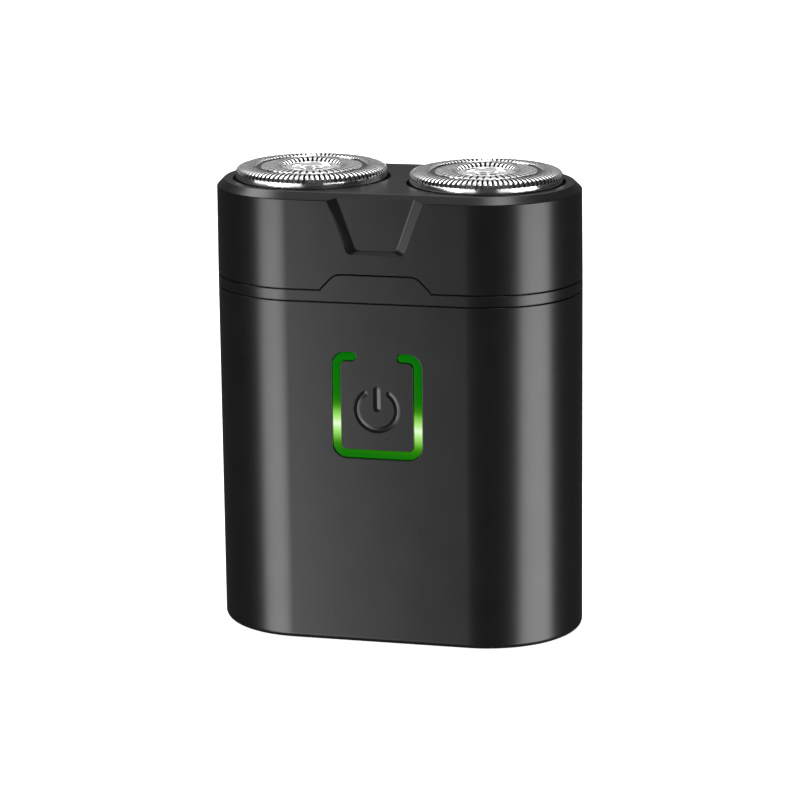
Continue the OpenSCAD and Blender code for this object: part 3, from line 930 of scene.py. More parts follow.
def cap_steel(name: str, centre: Point) -> Finish:
    """Gives the polished steel of one cap, with its turning marks round that cap's own axis.

    Args:
        name: the material's name.
        centre: where the cap's axis stands.

    Returns:
        The finish.
    """
    return Finish(
        name,
        (0.93, 0.93, 0.94),
        0.16,
        metallic=1.0,
        grain=Grain.ROUND,
        grain_size=0.09,
        grain_depth=0.0022,
        mottle=0.05,
        mottle_size=3.0,
        rough_spread=0.07,
        centre=centre,
    )


def dress(thing: bpy.types.Object, finish: bpy.types.Material) -> None:
    """Gives an object one material in place of any it had.

    Args:
        thing: the object.
        finish: the material.
    """
    slots = thing.material_slots
    if thing.data.materials:
        for slot in slots:
            slot.material = finish
        thing.data.polygons.foreach_set("material_index", [0] * len(thing.data.polygons))
    else:
        thing.data.materials.append(finish)


# ---------------------------------------------------------------------------------------------
# Sizes shared by the pieces
# ---------------------------------------------------------------------------------------------


def level(node: str, high: bool = True) -> float:
    """Gives a height of a frame node.

    Args:
        node: the node's name.
        high: whether its top is asked for, or its foot.

    Returns:
        The height in millimetres.
    """
    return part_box(node)[1 if high else 0].z / MM


@dataclass(frozen=True)
class Body:
    """The round-ended outline and the levels that every shell shares, in millimetres."""

    radius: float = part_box("body_shell")[1].y / MM
    axis_x: float = (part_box("body_shell")[1].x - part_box("body_shell")[1].y) / MM
    wall: float = 1.6
    shell_top: float = level("body_shell")
    collar_top: float = level("head_housing", high=False)
    head_top: float = level("head_housing")
    cap_top: float = level("cap_left")
    seam: float = 0.06
    lip: float = 0.13
    shadow_gap: float = 0.19
    shadow_depth: float = 0.4

    @property
    def inner(self) -> float:
        """Radius of the inside of the shells."""
        return self.radius - self.wall

    @property
    def front(self) -> float:
        """Where the flat front face stands."""
        return -self.radius


BODY = Body()


# ---------------------------------------------------------------------------------------------
# Lower body
# ---------------------------------------------------------------------------------------------


@dataclass
class Inlay:
    """The U-shaped bar round the press key, whose glow and highlights are painted emission."""

    width: float = 14.66
    foot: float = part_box("light_guide")[0].z / MM + 1.1
    top: float = level("power_key") + 0.1
    bar: float = 1.28
    corner: float = 2.3
    inner_corner: float = 0.95
    horn: float = 3.43
    recess: float = 0.2
    gap: float = 0.06

    def outline(self) -> Outline:
        """Gives the bar's outline.

        Returns:
            The outline, counter-clockwise.
        """
        out, inn = self.width / 2, self.width / 2 - self.bar
        low, floor = self.foot, self.foot + self.bar
        high, roof = self.top, self.top - self.bar
        tip = self.bar * 0.49
        return Outline(
            (
                (-out, low, self.corner),
                (out, low, self.corner),
                (out, high, self.corner),
                (self.horn, high, tip),
                (self.horn, roof, tip),
                (inn, roof, self.inner_corner),
                (inn, floor, self.inner_corner),
                (-inn, floor, self.inner_corner),
                (-inn, roof, self.inner_corner),
                (-self.horn, roof, tip),
                (-self.horn, high, tip),
                (-out, high, self.corner),
            )
        )

    def panel(self, lift: float) -> Outline:
        """Gives the outline of the key's field inside the bar.

        Args:
            lift: how far its top edge is raised over the horns' middle.

        Returns:
            The outline, counter-clockwise.
        """
        inn, floor = self.width / 2 - self.bar, self.foot + self.bar
        roof, tip = self.top - self.bar, self.bar * 0.49
        split = roof + self.bar / 2 + lift
        return Outline(
            (
                (-inn, floor, self.inner_corner),
                (inn, floor, self.inner_corner),
                (inn, roof, self.inner_corner),
                (self.horn, roof, tip),
                (self.horn, split, 0.0),
                (-self.horn, split, 0.0),
                (-self.horn, roof, tip),
                (-inn, roof, self.inner_corner),
            )
        )

    def cutters(self) -> list[bpy.types.Object]:
        """Makes the solids that open the shell for the bar and the key.

        Returns:
            The cutters.
        """
        reach = BODY.wall + 0.6
        slot = plug(
            self.outline(),
            mouth(0.16, reach, inset=self.gap),
            Facing.FRONT,
            BODY.front,
            "slot_cut",
        )
        field_cut = plug(
            self.panel(-self.bar * 0.35),
            [(-1.0, self.bar * 0.35), (reach, self.bar * 0.35)],
            Facing.FRONT,
            BODY.front,
            "field_cut",
        )
        return [slot, field_cut]

    def build(self) -> bpy.types.Object:
        """Makes the bar with its crowned face.

        Returns:
            The bar.
        """
        stations = [(d + self.recess, g) for d, g in crown(0.13, BODY.wall - 0.1, rise=0.04)]
        return polish(
            plug(self.outline(), stations, Facing.FRONT, BODY.front, "painted_glow_bar"), 50
        )

    def dress(self) -> None:
        """Builds the bar, gives it its emission of painted highlights and green glow, and hangs it on
        the base.
        """
        bar = self.build()
        dress(bar, INLAY.shared())
        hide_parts("light_guide")
        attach(bar, "base")
        LOG.info("inlay bar %d faces", len(bar.data.polygons))


@dataclass
class PressKey:
    """The key's plate with its sunk power symbol and the pin behind it."""

    inlay: Inlay
    thickness: float = 1.4
    gap: float = 0.09
    edge: float = 0.1
    symbol_level: float = (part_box("switch_plunger")[0].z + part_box("switch_plunger")[1].z) / 2 / MM
    symbol_radius: float = 3.31
    stroke: float = 0.96
    bar_stroke: float = 1.2
    gap_deg: float = 37.0
    slope_deg: float = 16.5

    def build(self) -> bpy.types.Object:
        """Makes the plate, sinks the symbol and adds the pin.

        Returns:
            The key.
        """
        lift = self.gap + self.edge
        stations = [(d, g - self.gap) for d, g in crown(self.edge, self.thickness)]
        plate = plug(self.inlay.panel(lift), stations, Facing.FRONT, BODY.front, "press_key")
        carve(plate, self._symbol())
        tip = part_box("power_key")[1].y / MM
        pin = plug(
            Disc((0.0, self.symbol_level), 0.8, 32),
            [(0.0, -0.1), (0.1, 0.0), (tip - BODY.front - self.thickness + 0.2, 0.0)],
            Facing.FRONT,
            BODY.front + self.thickness - 0.2,
            "key_pin",
        )
        return polish(join([plate, pin], "press_key"))

    def _symbol(self) -> list[bpy.types.Object]:
        """Makes the cutters of the ring and the stroke.

        Returns:
            The cutters.
        """
        seed = 0.06
        ring = OpenRing((0.0, self.symbol_level), self.symbol_radius, seed, self.gap_deg)
        low, high = self.symbol_level - 0.33, self.symbol_level + 3.85
        inset = (self.bar_stroke - seed) / 2
        bar = rectangle(seed, high - low - 2 * inset, seed * 0.49, low + inset)
        return [
            plug(shape, self._valley((stroke - seed) / 2), Facing.FRONT, BODY.front, name)
            for shape, stroke, name in (
                (ring, self.stroke, "ring_cut"),
                (bar, self.bar_stroke, "bar_cut"),
            )
        ]

    def _valley(self, half: float) -> list[Point]:
        """Gives the stations of a groove with two sloping sides.

        Args:
            half: half of the groove's width.

        Returns:
            (depth, growth) pairs from in front of the face to the bottom.
        """
        depth = half * math.tan(math.radians(self.slope_deg))
        return [
            (-1.0, half + 0.03),
            (0.0, half + 0.03),
            (0.004, half),
            (0.02, half - 0.03),
            (depth * 0.93, half * 0.06),
            (depth, 0.0),
        ]

    def dress(self) -> None:
        """Builds the key and hangs it on its own body."""
        key = self.build()
        dress(key, KEY_BLACK.shared())
        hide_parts("power_key")
        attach(key, "key")
        LOG.info("press key %d faces", len(key.data.polygons))


@dataclass
class LowerShell:
    """The body shell with its foot rounding, key opening, socket slot and screw wells."""

    inlay: Inlay
    foot: float = 1.05
    floor: float = 1.6
    screw_x: float = (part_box("frame_screws")[1].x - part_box("frame_screws")[1].y) / MM
    socket: Point = (9.24, 3.56)

    def build(self) -> bpy.types.Object:
        """Makes the shell and cuts its openings.

        Returns:
            The shell.
        """
        r, inner, top = BODY.radius, BODY.inner, BODY.shell_top
        path = soften_path(
            (
                (r - 5, 0.0, 0.0),
                (r, 0.0, self.foot),
                (r, top - BODY.shadow_gap, BODY.lip),
                (r - BODY.shadow_depth, top - BODY.shadow_gap, 0.0),
                (r - BODY.shadow_depth, top, 0.0),
                (inner, top, 0.1),
                (inner, self.floor, 1.0),
                (inner - 5, self.floor, 0.0),
            ),
            8,
        )
        shell = sweep(BODY.axis_x, path, "lower_shell")
        cutters = self.inlay.cutters()
        width, depth = self.socket
        port = rectangle(width, depth, depth / 2 - 0.01, -depth / 2)
        cutters.append(plug(port, mouth(0.16, 3.0), Facing.BOTTOM, 0.0, "port_cut"))
        for side in (-1, 1):
            well = Disc((side * self.screw_x, 0.0), 1.75, 48)
            cutters.append(plug(well, mouth(0.12, 3.0), Facing.BOTTOM, 0.0, "well_cut"))
        carve(shell, cutters)
        return polish(shell)

    def dress(self) -> None:
        """Builds the shell and hangs it on the base."""
        shell = self.build()
        dress(shell, SATIN_BLACK.shared())
        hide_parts("body_shell")
        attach(shell, "base")
        LOG.info("lower shell %d faces", len(shell.data.polygons))


@dataclass
class Tab:
    """The raised trapezoid in the middle of the collar's front."""

    foot: float = 9.05
    tip: float = 6.62
    height: float = 2.45

    def outline(self, below: float) -> Outline:
        """Gives the tab's outline, which runs on straight down below the seam.

        Args:
            below: how far it runs below the collar's top.

        Returns:
            The outline, counter-clockwise.
        """
        low, seam, high = BODY.collar_top - below, BODY.collar_top, BODY.collar_top + self.height
        return Outline(
            (
                (-self.foot, low, 0.0),
                (self.foot, low, 0.0),
                (self.foot, seam, 1.2),
                (self.tip, high, 2.3),
                (-self.tip, high, 2.3),
                (-self.foot, seam, 1.2),
            ),
            5,
        )


@dataclass
class Collar:
    """The band between body and head: tab, chamber floor, plug ring, chimneys and magnet posts."""

    tab: Tab
    floor: float = 1.5
    ring: float = 1.15
    ring_height: float = 4.0
    chimney: Point = (4.6, 5.8)
    chimney_height: float = 0.7

    def build(self) -> bpy.types.Object:
        """Makes the collar as one closed band with its posts and chimneys.

        Returns:
            The collar.
        """
        r, inner, top, low = BODY.radius, BODY.inner, BODY.collar_top, BODY.shell_top
        plug_in, plug_out = inner - self.ring, inner - 0.15
        path = soften_path(
            (
                (r - 8, top, 0.0),
                (plug_in, top, 0.35),
                (plug_in, top + self.ring_height, 0.2),
                (plug_out, top + self.ring_height, 0.3),
                (plug_out, top, 0.08),
                (r - BODY.shadow_depth, top, 0.0),
                (r - BODY.shadow_depth, top - BODY.shadow_gap, 0.0),
                (r, top - BODY.shadow_gap, BODY.lip),
                (r, low, BODY.seam),
                (inner - 0.06, low, 0.08),
                (inner - 0.06, low - 3, 0.3),
                (plug_in, low - 3, 0.2),
                (plug_in, top - self.floor, 0.3),
                (r - 8, top - self.floor, 0.0),
            ),
            6,
        )
        band = sweep(BODY.axis_x, path, "collar_band")
        tab = plug(
            self.tab.outline(0.8),
            crown(0.15, BODY.wall + 0.6),
            Facing.FRONT,
            BODY.front,
            "tab",
        )
        combine(band, [tab], "UNION")
        holes = [
            plug(
                Disc((side * BODY.axis_x, 0.0), self.chimney[0], 72),
                mouth(0.01, 4.0),
                Facing.TOP,
                top + 0.5,
                "chimney_cut",
            )
            for side in (-1, 1)
        ]
        carve(band, holes)
        return polish(join([band, *self._posts(), *self._chimneys()], "collar_band"))

    def _posts(self) -> list[bpy.types.Object]:
        """Makes the two cups that hold the collar's magnets.

        Returns:
            The cups.
        """
        lo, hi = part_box("collar_magnets")
        reach, radius = (hi.y - (hi.x - lo.x) / 2) / MM, (hi.x - lo.x) / 2 / MM
        high, bed = hi.z / MM, lo.z / MM
        path = soften_path(
            (
                (2.3, BODY.collar_top - 0.05, 0.0),
                (2.3, high, 0.2),
                (radius + 0.01, high, 0.1),
                (radius + 0.01, bed, 0.0),
                (0.0, bed, 0.0),
            )
        )
        return [lathe((0.0, side * reach), path, "post", 48) for side in (-1, 1)]

    def _chimneys(self) -> list[bpy.types.Object]:
        """Makes the two low collars that the spindles stand in.

        Returns:
            The low collars.
        """
        inner, outer = self.chimney
        top, low = BODY.collar_top + self.chimney_height, BODY.collar_top - self.floor
        path = soften_path(
            (
                (inner, low, 0.0),
                (outer, low, 0.0),
                (outer, top, 0.25),
                (inner, top, 0.2),
                (inner, (top + low) / 2, 0.0),
            )
        )
        return [
            lathe((side * BODY.axis_x, 0.0), path, "chimney", 72, loop=True) for side in (-1, 1)
        ]

    def dress(self) -> None:
        """Builds the collar and hangs it on the base."""
        collar = self.build()
        dress(collar, SATIN_BLACK.shared())
        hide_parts("collar")
        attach(collar, "base")
        LOG.info("collar %d faces", len(collar.data.polygons))


# ---------------------------------------------------------------------------------------------
# Head
# ---------------------------------------------------------------------------------------------


@dataclass
class Notch:
    """The V-shaped field sunk into the front of the head."""

    depth: float = 0.56
    foot: Point = (4.7, 64.0)
    head: Point = (8.2, 72.6)
    floor_foot: Point = (3.25, 64.6)
    floor_head: Point = (6.45, 73.3)

    def cutter(self) -> bpy.types.Object:
        """Makes the solid that sinks the field, with softened edges.

        Returns:
            The cutter.
        """
        stations = [
            (-1.0, 0.0, 0.06),
            (0.0, 0.0, 0.06),
            (0.006, 0.011, 0.03),
            (0.022, 0.04, 0.01),
            (0.05, 0.09, 0.0),
            (self.depth - 0.06, 0.91, 0.0),
            (self.depth - 0.02, 0.97, -0.015),
            (self.depth, 1.03, -0.06),
        ]
        rings = []
        for depth, share, grow in stations:
            shape = self._outline(share)
            rings.append(
                [Facing.FRONT.place(u, v, depth, BODY.front) for u, v in shape.points(grow)]
            )
        return skin(rings, "notch_cut")

    def _outline(self, share: float) -> Outline:
        """Gives the outline part of the way from the surface to the floor.

        Args:
            share: how much of the way, from nothing to one.

        Returns:
            The outline, counter-clockwise.
        """
        top = BODY.head_top + 3
        rim = self._side(self.foot, self.head, top)
        bed = self._side(self.floor_foot, self.floor_head, top)
        low = self.foot[1] + (self.floor_foot[1] - self.foot[1]) * share
        half_low = rim[0] + (bed[0] - rim[0]) * share
        half_top = rim[1] + (bed[1] - rim[1]) * share
        return Outline(
            (
                (-half_low, low, 0.85),
                (half_low, low, 0.85),
                (half_top, top, 0.0),
                (-half_top, top, 0.0),
            ),
            6,
        )

    @staticmethod
    def _side(foot: Point, head: Point, top: float) -> Point:
        """Gives the half widths at the two ends of one slanting side.

        Args:
            foot: a point at the side's foot.
            head: a point near its head.
            top: the level where the side ends.

        Returns:
            The half widths at the foot and at the top.
        """
        slope = (head[0] - foot[0]) / (head[1] - foot[1])
        return (foot[0], foot[0] + slope * (top - foot[1]))


@dataclass
class Head:
    """The lift-off housing with its chamfered rim, cap holes, V field and tab recess."""

    tab: Tab
    notch: Notch
    deck: float = 1.8
    chamfer: float = 1.15
    draft: float = 0.1
    hole: float = 12.8

    def build(self) -> bpy.types.Object:
        """Makes the housing and cuts its openings.

        Returns:
            The housing.
        """
        r, inner, low, top = BODY.radius, BODY.inner, BODY.collar_top, BODY.head_top
        under = top - self.deck
        path = soften_path(
            (
                (r - 8, top, 0.0),
                (r - self.chamfer - self.draft, top, 0.16),
                (r - self.draft, top - self.chamfer, 0.22),
                (r, low, BODY.seam),
                (inner, low, 0.12),
                (inner, under, 0.5),
                (r - 8, under, 0.0),
            ),
            7,
        )
        shell = sweep(BODY.axis_x, path, "head_shell")
        cutters = [
            plug(
                Disc((side * BODY.axis_x, 0.0), self.hole, 144),
                mouth(0.14, self.deck + 1),
                Facing.TOP,
                top,
                "cap_cut",
            )
            for side in (-1, 1)
        ]
        cutters.append(self.notch.cutter())
        cutters.append(
            plug(
                self.tab.outline(2.0),
                mouth(0.08, BODY.wall + 0.8, inset=0.14),
                Facing.FRONT,
                BODY.front,
                "tab_cut",
            )
        )
        carve(shell, cutters)
        return polish(join([shell, *self._posts()], "head_shell"))

    def _posts(self) -> list[bpy.types.Object]:
        """Makes the two posts that the retainer is screwed to.

        Returns:
            The posts.
        """
        lo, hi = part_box("retainer_screws")
        reach = (hi.y - (hi.x - lo.x) / 2) / MM
        low = level("retainer")
        high = BODY.head_top - self.deck
        path = soften_path(
            (
                (0.9, high - 0.3, 0.0),
                (0.9, low, 0.1),
                (1.9, low, 0.2),
                (1.9, high - 0.5, 0.0),
                (2.3, high, 0.0),
                (2.3, high + 0.05, 0.0),
            )
        )
        return [lathe((0.0, side * reach), path, "screw_post", 48, loop=True) for side in (-1, 1)]

    def dress(self) -> None:
        """Builds the housing and hangs it on the head."""
        shell = self.build()
        dress(shell, SATIN_BLACK.shared())
        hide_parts("head_housing")
        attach(shell, "head")
        LOG.info("head shell %d faces", len(shell.data.polygons))


class Track(Enum):
    """What a cap's sheet holds between one ring and the next."""

    PLAIN = "plain"
    OUTER = "outer slots"
    INNER = "inner slots"
    # the groove is drawn with the dark steel as painted shade
    SHADE_PAINTED_GROOVE = "dark groove"


@dataclass
class SteelCap:
    """One slotted steel cap, with the hub plate riveted into its bowl."""

    side: int
    outer_slots: int = 90
    inner_slots: int = 45
    pieces_per_slot: int = 3
    slot: float = 0.4
    sheet: float = 0.33
    groove_middle: float = 8.6
    edge: float = 0.035
    radius: float = (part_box("cap_left")[1].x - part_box("cap_left")[0].x) / 2 / MM
    centre: Point = field(init=False)
    word: str = field(init=False)

    def __post_init__(self) -> None:
        """Finds the side's name in the frame and where the cap's axis stands."""
        self.word = "left" if self.side < 0 else "right"
        lo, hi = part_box(f"cap_{self.word}")
        self.centre = ((lo.x + hi.x) / 2 / MM, (lo.y + hi.y) / 2 / MM)

    def profile(self) -> list[tuple[float, float, Track]]:
        """Gives the outer face of the sheet from the rivet hole to the lower rim.

        Returns:
            (radius, depth below the top, what lies from this ring to the next).
        """
        r = self.radius
        low = BODY.cap_top - level(f"cap_{self.word}", high=False)
        p, o, i, g = Track.PLAIN, Track.OUTER, Track.INNER, Track.SHADE_PAINTED_GROOVE
        return [
            (1.2, 0.60, p),
            (3.2, 0.60, p),
            (4.45, 0.60, p),
            (4.72, 0.575, i),
            (4.93, 0.50, i),
            (5.12, 0.36, i),
            (5.32, 0.19, i),
            (5.55, 0.07, i),
            (5.85, 0.015, i),
            (6.3, 0.0, i),
            (6.9, 0.02, i),
            (7.5, 0.07, i),
            (7.9, 0.13, i),
            (8.13, 0.2, p),
            (8.2, 0.34, g),
            (8.26, 0.44, g),
            (8.65, 0.45, g),
            (9.02, 0.44, g),
            (9.08, 0.34, p),
            (9.15, 0.2, o),
            (9.32, 0.11, o),
            (9.7, 0.035, o),
            (10.2, 0.0, o),
            (10.85, 0.035, o),
            (11.3, 0.1, o),
            (11.65, 0.2, o),
            (11.93, 0.34, o),
            (12.13, 0.53, o),
            (12.25, 0.78, o),
            (r, 1.1, p),
            (r, 1.35, p),
            (r, low * 0.6, p),
            (r, low, p),
        ]

    def build(self, steel: bpy.types.Material, cut: bpy.types.Material) -> bpy.types.Object:
        """Makes the sheet as a slotted skin, thickens it and softens its edges.

        Args:
            steel: finish of the outside.
            cut: the dark steel that paints shade on the slots' sides, the inside and the groove.

        Returns:
            The cap.
        """
        mesh = bmesh.new()
        rings = self.profile()
        rows = [
            [mesh.verts.new(point * MM) for point in self._ring(radius, BODY.cap_top - depth)]
            for radius, depth, _ in rings
        ]
        count = len(rows[0])
        spacing = {
            Track.OUTER: count // self.outer_slots,
            Track.INNER: count // self.inner_slots,
        }
        for (_, _, kind), low, high in zip(rings, rows, rows[1:]):
            for k in range(count):
                if kind in spacing and k % spacing[kind] == 0:
                    continue
                j = (k + 1) % count
                face = mesh.faces.new((low[k], low[j], high[j], high[k]))
                # groove faces take the dark steel: painted shade
                face.material_index = 1 if kind is Track.SHADE_PAINTED_GROOVE else 0
        bmesh.ops.recalc_face_normals(mesh, faces=mesh.faces)
        cap = to_object(mesh, f"steel_cap_{self.word}")
        if sum(face.normal.z for face in cap.data.polygons) < 0:
            cap.data.flip_normals()
        for finish in (steel, cut):
            cap.data.materials.append(finish)
        thicken = cap.modifiers.new("thicken", "SOLIDIFY")
        # the inside and the slots' sides take the dark steel: painted shade
        thicken.material_offset = thicken.material_offset_rim = 1
        thicken.thickness, thicken.offset = self.sheet * MM, -1
        thicken.use_even_offset = True
        soften = cap.modifiers.new("soften", "BEVEL")
        soften.width, soften.segments = self.edge * MM, 2
        soften.limit_method, soften.angle_limit = "ANGLE", math.radians(55)
        settle(cap)
        return polish(cap, 40)

    def _ring(self, radius: float, height: float) -> list[Vector]:
        """Gives the points of one ring of the sheet.

        Args:
            radius: the ring's radius.
            height: how high it lies.

        Returns:
            The points in millimetres.
        """
        return [
            Vector(
                (
                    self.centre[0] + radius * math.cos(angle),
                    self.centre[1] + radius * math.sin(angle),
                    height,
                )
            )
            for angle in self._angles(radius)
        ]

    def _angles(self, radius: float) -> list[float]:
        """Gives the angles of a ring's points, with the slots' straight sides among them.

        Args:
            radius: the ring's radius, which tells which track's slots it follows.

        Returns:
            The angles in radians.
        """
        count = self.outer_slots * self.pieces_per_slot
        slots = self.inner_slots if radius < self.groove_middle else self.outer_slots
        each = count // slots
        period = math.tau / slots
        half = math.asin(min(self.slot / 2 / radius, 0.4))
        half = min(half, period * 0.32)
        angles: list[float] = []
        for s in range(slots):
            middle = s * period
            angles += [middle - half, middle + half]
            span = period - 2 * half
            angles += [middle + half + span * k / (each - 1) for k in range(1, each - 1)]
        return angles

    def build_hub(self) -> bpy.types.Object:
        """Makes the hub plate with its rim and raised button.

        Returns:
            The hub.
        """
        bed = BODY.cap_top - 0.6
        path = soften_path(
            (
                (0.0, BODY.cap_top - 0.06, 0.0),
                (1.85, BODY.cap_top - 0.06, 0.13),
                (1.85, bed + 0.1, 0.05),
                (3.55, bed + 0.06, 0.1),
                (3.75, bed + 0.3, 0.1),
                (4.2, bed + 0.3, 0.12),
                (4.2, bed, 0.0),
                (1.2, bed, 0.0),
                (1.2, bed - 0.5, 0.0),
                (1.8, bed - 0.5, 0.0),
                (1.8, bed - 0.75, 0.1),
                (0.0, bed - 0.75, 0.0),
            ),
            5,
        )
        return polish(lathe(self.centre, path, f"cap_hub_piece_{self.word}", 96), 50)

    def dress(self) -> list[bpy.types.Object]:
        """Builds the cap and its hub and hangs them on the cap's body.

        Returns:
            The two pieces.
        """
        steel = cap_steel(f"polished_steel_{self.word}", self.centre).build()
        # dark steel for the painted shade in the slots, the inside and the groove
        cut = SHADE_PAINTED_STEEL.shared()
        hub = self.build_hub()
        dress(hub, steel)
        sheet = self.build(steel, cut)
        for piece, node in ((sheet, f"cap_{self.word}"), (hub, f"cap_hub_{self.word}")):
            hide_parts(node)
            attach(piece, f"cap_{self.word}_body")
            LOG.info("%s %d faces", piece.name, len(piece.data.polygons))
        return [sheet, hub]


# ---------------------------------------------------------------------------------------------
# Screws and the inner works
# ---------------------------------------------------------------------------------------------


@dataclass
class CrossScrews:
    """A group of countersunk screws with a cross recess, heads down."""

    node: str
    body: str

    def build(self) -> bpy.types.Object:
        """Makes every screw of the group.

        Returns:
            The group as one object.
        """
        lo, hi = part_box(self.node)
        radius = min(hi.x - lo.x, hi.y - lo.y) / 2 / MM
        reach_x, reach_y = hi.x / MM - radius, hi.y / MM - radius
        base, top = lo.z / MM, hi.z / MM
        corners = [(sx * reach_x, sy * reach_y) for sx in (-1, 1) for sy in (-1, 1)]
        spots = sorted({(round(x, 3) + 0.0, round(y, 3) + 0.0) for x, y in corners})
        parts = []
        for spot in spots:
            path = soften_path(
                (
                    (0.0, base, 0.0),
                    (radius, base, 0.12),
                    (0.85, base + 0.8, 0.1),
                    (0.85, top - 0.4, 0.1),
                    (0.5, top, 0.05),
                    (0.0, top, 0.0),
                )
            )
            screw = lathe(spot, path, "screw", 48)
            carve(screw, [self._blade(spot, base, turn) for turn in (False, True)])
            parts.append(screw)
        return polish(join(parts, f"{self.node}_turned"))

    @staticmethod
    def _blade(spot: Point, base: float, turn: bool) -> bpy.types.Object:
        """Makes one arm of the cross recess.

        Args:
            spot: where the screw stands.
            base: height of its head's face.
            turn: whether the arm lies from front to back.

        Returns:
            The cutter.
        """
        long, short = 0.95, 0.2
        rings = []
        for depth, shrink in ((-0.5, 1.0), (0.0, 1.0), (0.55, 0.45)):
            w, d = (short, long * shrink) if turn else (long * shrink, short)
            rings.append(
                [
                    Vector((spot[0] + sx * w, spot[1] + sy * d, base + depth))
                    for sx, sy in ((-1, -1), (1, -1), (1, 1), (-1, 1))
                ]
            )
        return skin(rings, "recess_cut")

    def dress(self) -> None:
        """Builds the screws and hangs them on their body."""
        screws = self.build()
        dress(screws, BLACKENED.shared())
        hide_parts(self.node)
        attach(screws, self.body)
        LOG.info("%s %d faces", screws.name, len(screws.data.polygons))


@dataclass
class InnerWorks:
    """The frame's own nodes that stay as they are and take a finish."""

    finishes: dict[str, Finish] = field(
        default_factory=lambda: {
            "collar_gasket": RUBBER,
            "collar_magnets": NICKEL,
            "head_magnets": NICKEL,
            "inner_frame": FRAME_GREY,
            "gear_plate": FRAME_GREY,
            "gear_axles": GROUND_STEEL,
            "spindle_seals": RUBBER,
            "motor_can": MOTOR_STEEL,
            "motor_end_cap": CHIP,
            "motor_magnets": SEAT_BLACK,
            "battery_cell": SLEEVE,
            "battery_tabs": NICKEL,
            "main_board": BOARD,
            "board_parts": CHIP,
            "leds": LAMP,
            "switch_body": CHIP,
            "charge_board": BOARD,
            "charge_parts": CHIP,
            "usb_shell": NICKEL,
            "usb_tongue": CHIP,
            "deck_screws": BLACKENED,
            "motor_screws": BLACKENED,
            "switch_plunger": LAMP,
            "motor_shaft": GROUND_STEEL,
            "armature": COPPER,
            "commutator": BRASS,
            "pinion": BRASS,
            "gear_left": ACETAL,
            "gear_right": ACETAL,
            "spindle_left": FRAME_GREY,
            "spindle_right": FRAME_GREY,
            "spring_left": GROUND_STEEL,
            "spring_right": GROUND_STEEL,
            "retainer": FRAME_GREY,
            "cap_seat_left": SEAT_BLACK,
            "cap_seat_right": SEAT_BLACK,
            "cutter_left": CUTTER_STEEL_SHADE_DARKENED,
            "cutter_right": CUTTER_STEEL_SHADE_DARKENED,
            "carrier_left": ACETAL,
            "carrier_right": ACETAL,
        }
    )

    def dress(self) -> None:
        """Gives every kept node its finish."""
        for node, finish in self.finishes.items():
            dress(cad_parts[node], finish.shared())
        LOG.info("inner works: %d nodes dressed", len(self.finishes))


# ---------------------------------------------------------------------------------------------
# Studio
# ---------------------------------------------------------------------------------------------


@dataclass
class Softbox:
    """One rectangular lamp, placed by its bearing round the shaver."""

    name: str
    bearing: float
    height: float
    distance: float
    width: float
    tall: float
    radiance: float
    aim: float = 37.0

    def build(self, camera_bearing: float) -> bpy.types.Object:
        """Hangs the lamp.

        Args:
            camera_bearing: the camera's own bearing, which the lamp's is counted from.

        Returns:
            The lamp.
        """
        turn = math.radians(camera_bearing + self.bearing)
        place = Vector(
            (math.sin(turn) * self.distance, -math.cos(turn) * self.distance, self.height)
        )
        data = bpy.data.lights.new(self.name, "AREA")
        data.shape, data.size, data.size_y = "RECTANGLE", self.width * MM, self.tall * MM
        data.energy = self.radiance * self.width * self.tall * MM * MM * math.pi
        lamp = bpy.data.objects.new(self.name, data)
        bpy.context.scene.collection.objects.link(lamp)
        toward = (Vector((0, 0, self.aim)) - place).normalized()
        lamp.rotation_euler = toward.to_track_quat("-Z", "Y").to_euler()
        lamp.location = place * MM
        lamp.visible_camera = False
        return lamp


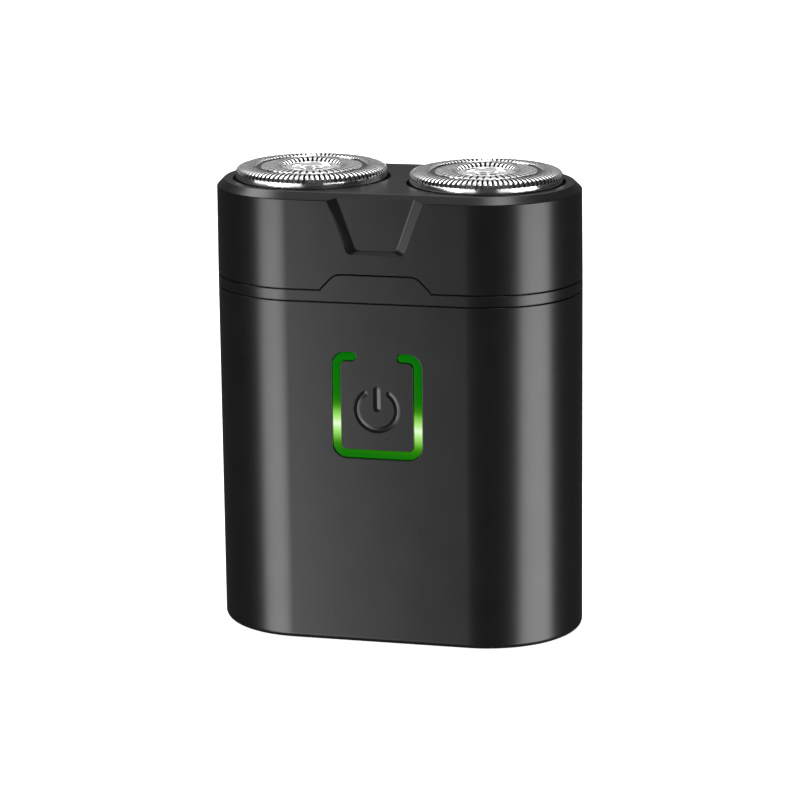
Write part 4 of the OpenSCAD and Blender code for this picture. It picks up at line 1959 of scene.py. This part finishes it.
@dataclass
class Studio:
    """Pale floor, surrounding light, lamps and camera."""

    bearing: float = 14.4
    rise: float = 13.637
    distance: float = 544.77
    roll: float = -0.670
    lens: float = 149.67
    aim_across: float = -0.1545
    aim_level: float = 36.995

    def softboxes(self) -> list[Softbox]:
        """Gives the lamps, by bearing from the camera.

        Returns:
            The lamps.
        """
        return [
            Softbox("strip_left", -51.3, -120, 420, 237, 360, 5.4),
            Softbox("strip_right", 58.5, -120, 420, 314, 360, 5.8),
            Softbox("near_left", -40.8, -25, 162, 60, 180, 0.6),
            Softbox("strip_rear", 180, -120, 420, 120, 360, 4.0),
            Softbox("back_low", 180, 190, 420, 520, 150, 0.09),
            Softbox("top_back", 180, 480, 330, 700, 300, 2.7),
            Softbox("top_left", -105, 397, 270, 150, 150, 6.5),
            Softbox("top_right", 45, 477, 123, 120, 120, 7.0),
            Softbox("overhead", 0, 760, 1, 900, 900, 0.6),
        ]

    def build(self) -> None:
        """Sets the whole studio."""
        bpy.context.scene.view_settings.view_transform = "Standard"
        self._camera()
        self._world()
        self._floor()
        for box in self.softboxes():
            box.build(self.bearing)
        LOG.info("studio ready")

    def light_steel(self, pieces: Sequence[bpy.types.Object]) -> None:
        """Hangs the cards that only the polished steel is lit by.

        Args:
            pieces: the caps and their hubs.
        """
        group = bpy.data.collections.new("polished_pieces")
        for piece in pieces:
            group.objects.link(piece)
        cards = [
            Softbox("steel_back", 180, 180, 420, 1000, 280, 0.42),
            Softbox("steel_left", -55, -60, 420, 705, 300, 1.1),
            Softbox("steel_right", 33, -60, 420, 225, 300, 1.0),
        ]
        for card in cards:
            card.build(self.bearing).light_linking.receiver_collection = group

    def _camera(self) -> None:
        """Makes the camera and turns it on."""
        az, el = math.radians(self.bearing), math.radians(self.rise)
        back = Vector((math.sin(az) * math.cos(el), -math.cos(az) * math.cos(el), math.sin(el)))
        right = Vector((math.cos(az), math.sin(az), 0.0))
        up = back.cross(right)
        aim = right * self.aim_across + Vector((0, 0, self.aim_level))
        turn = Matrix((right, up, back)).transposed().to_4x4()
        data = bpy.data.cameras.new("camera")
        data.lens, data.sensor_width = self.lens, 36.0
        data.clip_start, data.clip_end = 0.01, 20.0
        camera = bpy.data.objects.new("camera", data)
        bpy.context.scene.collection.objects.link(camera)
        camera.matrix_world = (
            Matrix.Translation((aim + back * self.distance) * MM)
            @ turn
            @ Matrix.Rotation(math.radians(self.roll), 4, "Z")
        )
        bpy.context.scene.camera = camera

    @staticmethod
    def _world() -> None:
        """Surrounds the set with white that is seen, and dim light that falls on the shaver."""
        world = bpy.data.worlds.new("studio")
        bpy.context.scene.world = world
        world.use_nodes = True
        tree = world.node_tree
        tree.nodes.clear()
        seen = tree.nodes.new("ShaderNodeBackground")
        seen.inputs["Color"].default_value = (1, 1, 1, 1)
        seen.inputs["Strength"].default_value = 1.0
        dim = tree.nodes.new("ShaderNodeBackground")
        dim.inputs["Color"].default_value = (1, 1, 1, 1)
        dim.inputs["Strength"].default_value = 0.05
        path = tree.nodes.new("ShaderNodeLightPath")
        mix = tree.nodes.new("ShaderNodeMixShader")
        out = tree.nodes.new("ShaderNodeOutputWorld")
        tree.links.new(path.outputs["Is Camera Ray"], mix.inputs[0])
        tree.links.new(dim.outputs[0], mix.inputs[1])
        tree.links.new(seen.outputs[0], mix.inputs[2])
        tree.links.new(mix.outputs[0], out.inputs[0])

    @staticmethod
    def _floor() -> None:
        """Lays a pale floor that the shaver stands on."""
        mesh = bmesh.new()
        rings = [
            [mesh.verts.new((x, y, 0.0)) for x, y in Disc((0.0, 0.0), reach, 64).points(0.0)]
            for reach in (0.0001, 0.3, 1.2, 3.0)
        ]
        for low, high in zip(rings, rings[1:]):
            for i in range(len(low)):
                j = (i + 1) % len(low)
                mesh.faces.new((low[i], high[i], high[j], low[j]))
        floor = to_object(mesh, "floor")
        floor.location.z = -0.0002
        material = bpy.data.materials.new("pale_floor")
        material.use_nodes = True
        shader = material.node_tree.nodes["Principled BSDF"]
        shader.inputs["Base Color"].default_value = (0.86, 0.86, 0.86, 1)
        shader.inputs["Roughness"].default_value = 0.9
        shader.inputs["Specular IOR Level"].default_value = 0.1
        shader.inputs["Emission Color"].default_value = (1, 1, 1, 1)
        shader.inputs["Emission Strength"].default_value = 1.0
        floor.data.materials.append(material)
        floor.visible_glossy = False
        floor.visible_shadow = False


def main() -> None:
    """Builds the camera and lights, then every sub-assembly in order."""
    logging.basicConfig(level=logging.INFO, format="%(message)s")
    studio = Studio()
    studio.build()
    tab, inlay = Tab(), Inlay()
    InnerWorks().dress()
    LowerShell(inlay).dress()
    inlay.dress()
    PressKey(inlay).dress()
    Collar(tab).dress()
    Head(tab, Notch()).dress()
    studio.light_steel([*SteelCap(-1).dress(), *SteelCap(1).dress()])
    for node, body in (("frame_screws", "base"), ("retainer_screws", "head")):
        CrossScrews(node, body).dress()


if __name__ == "__main__":
    main()
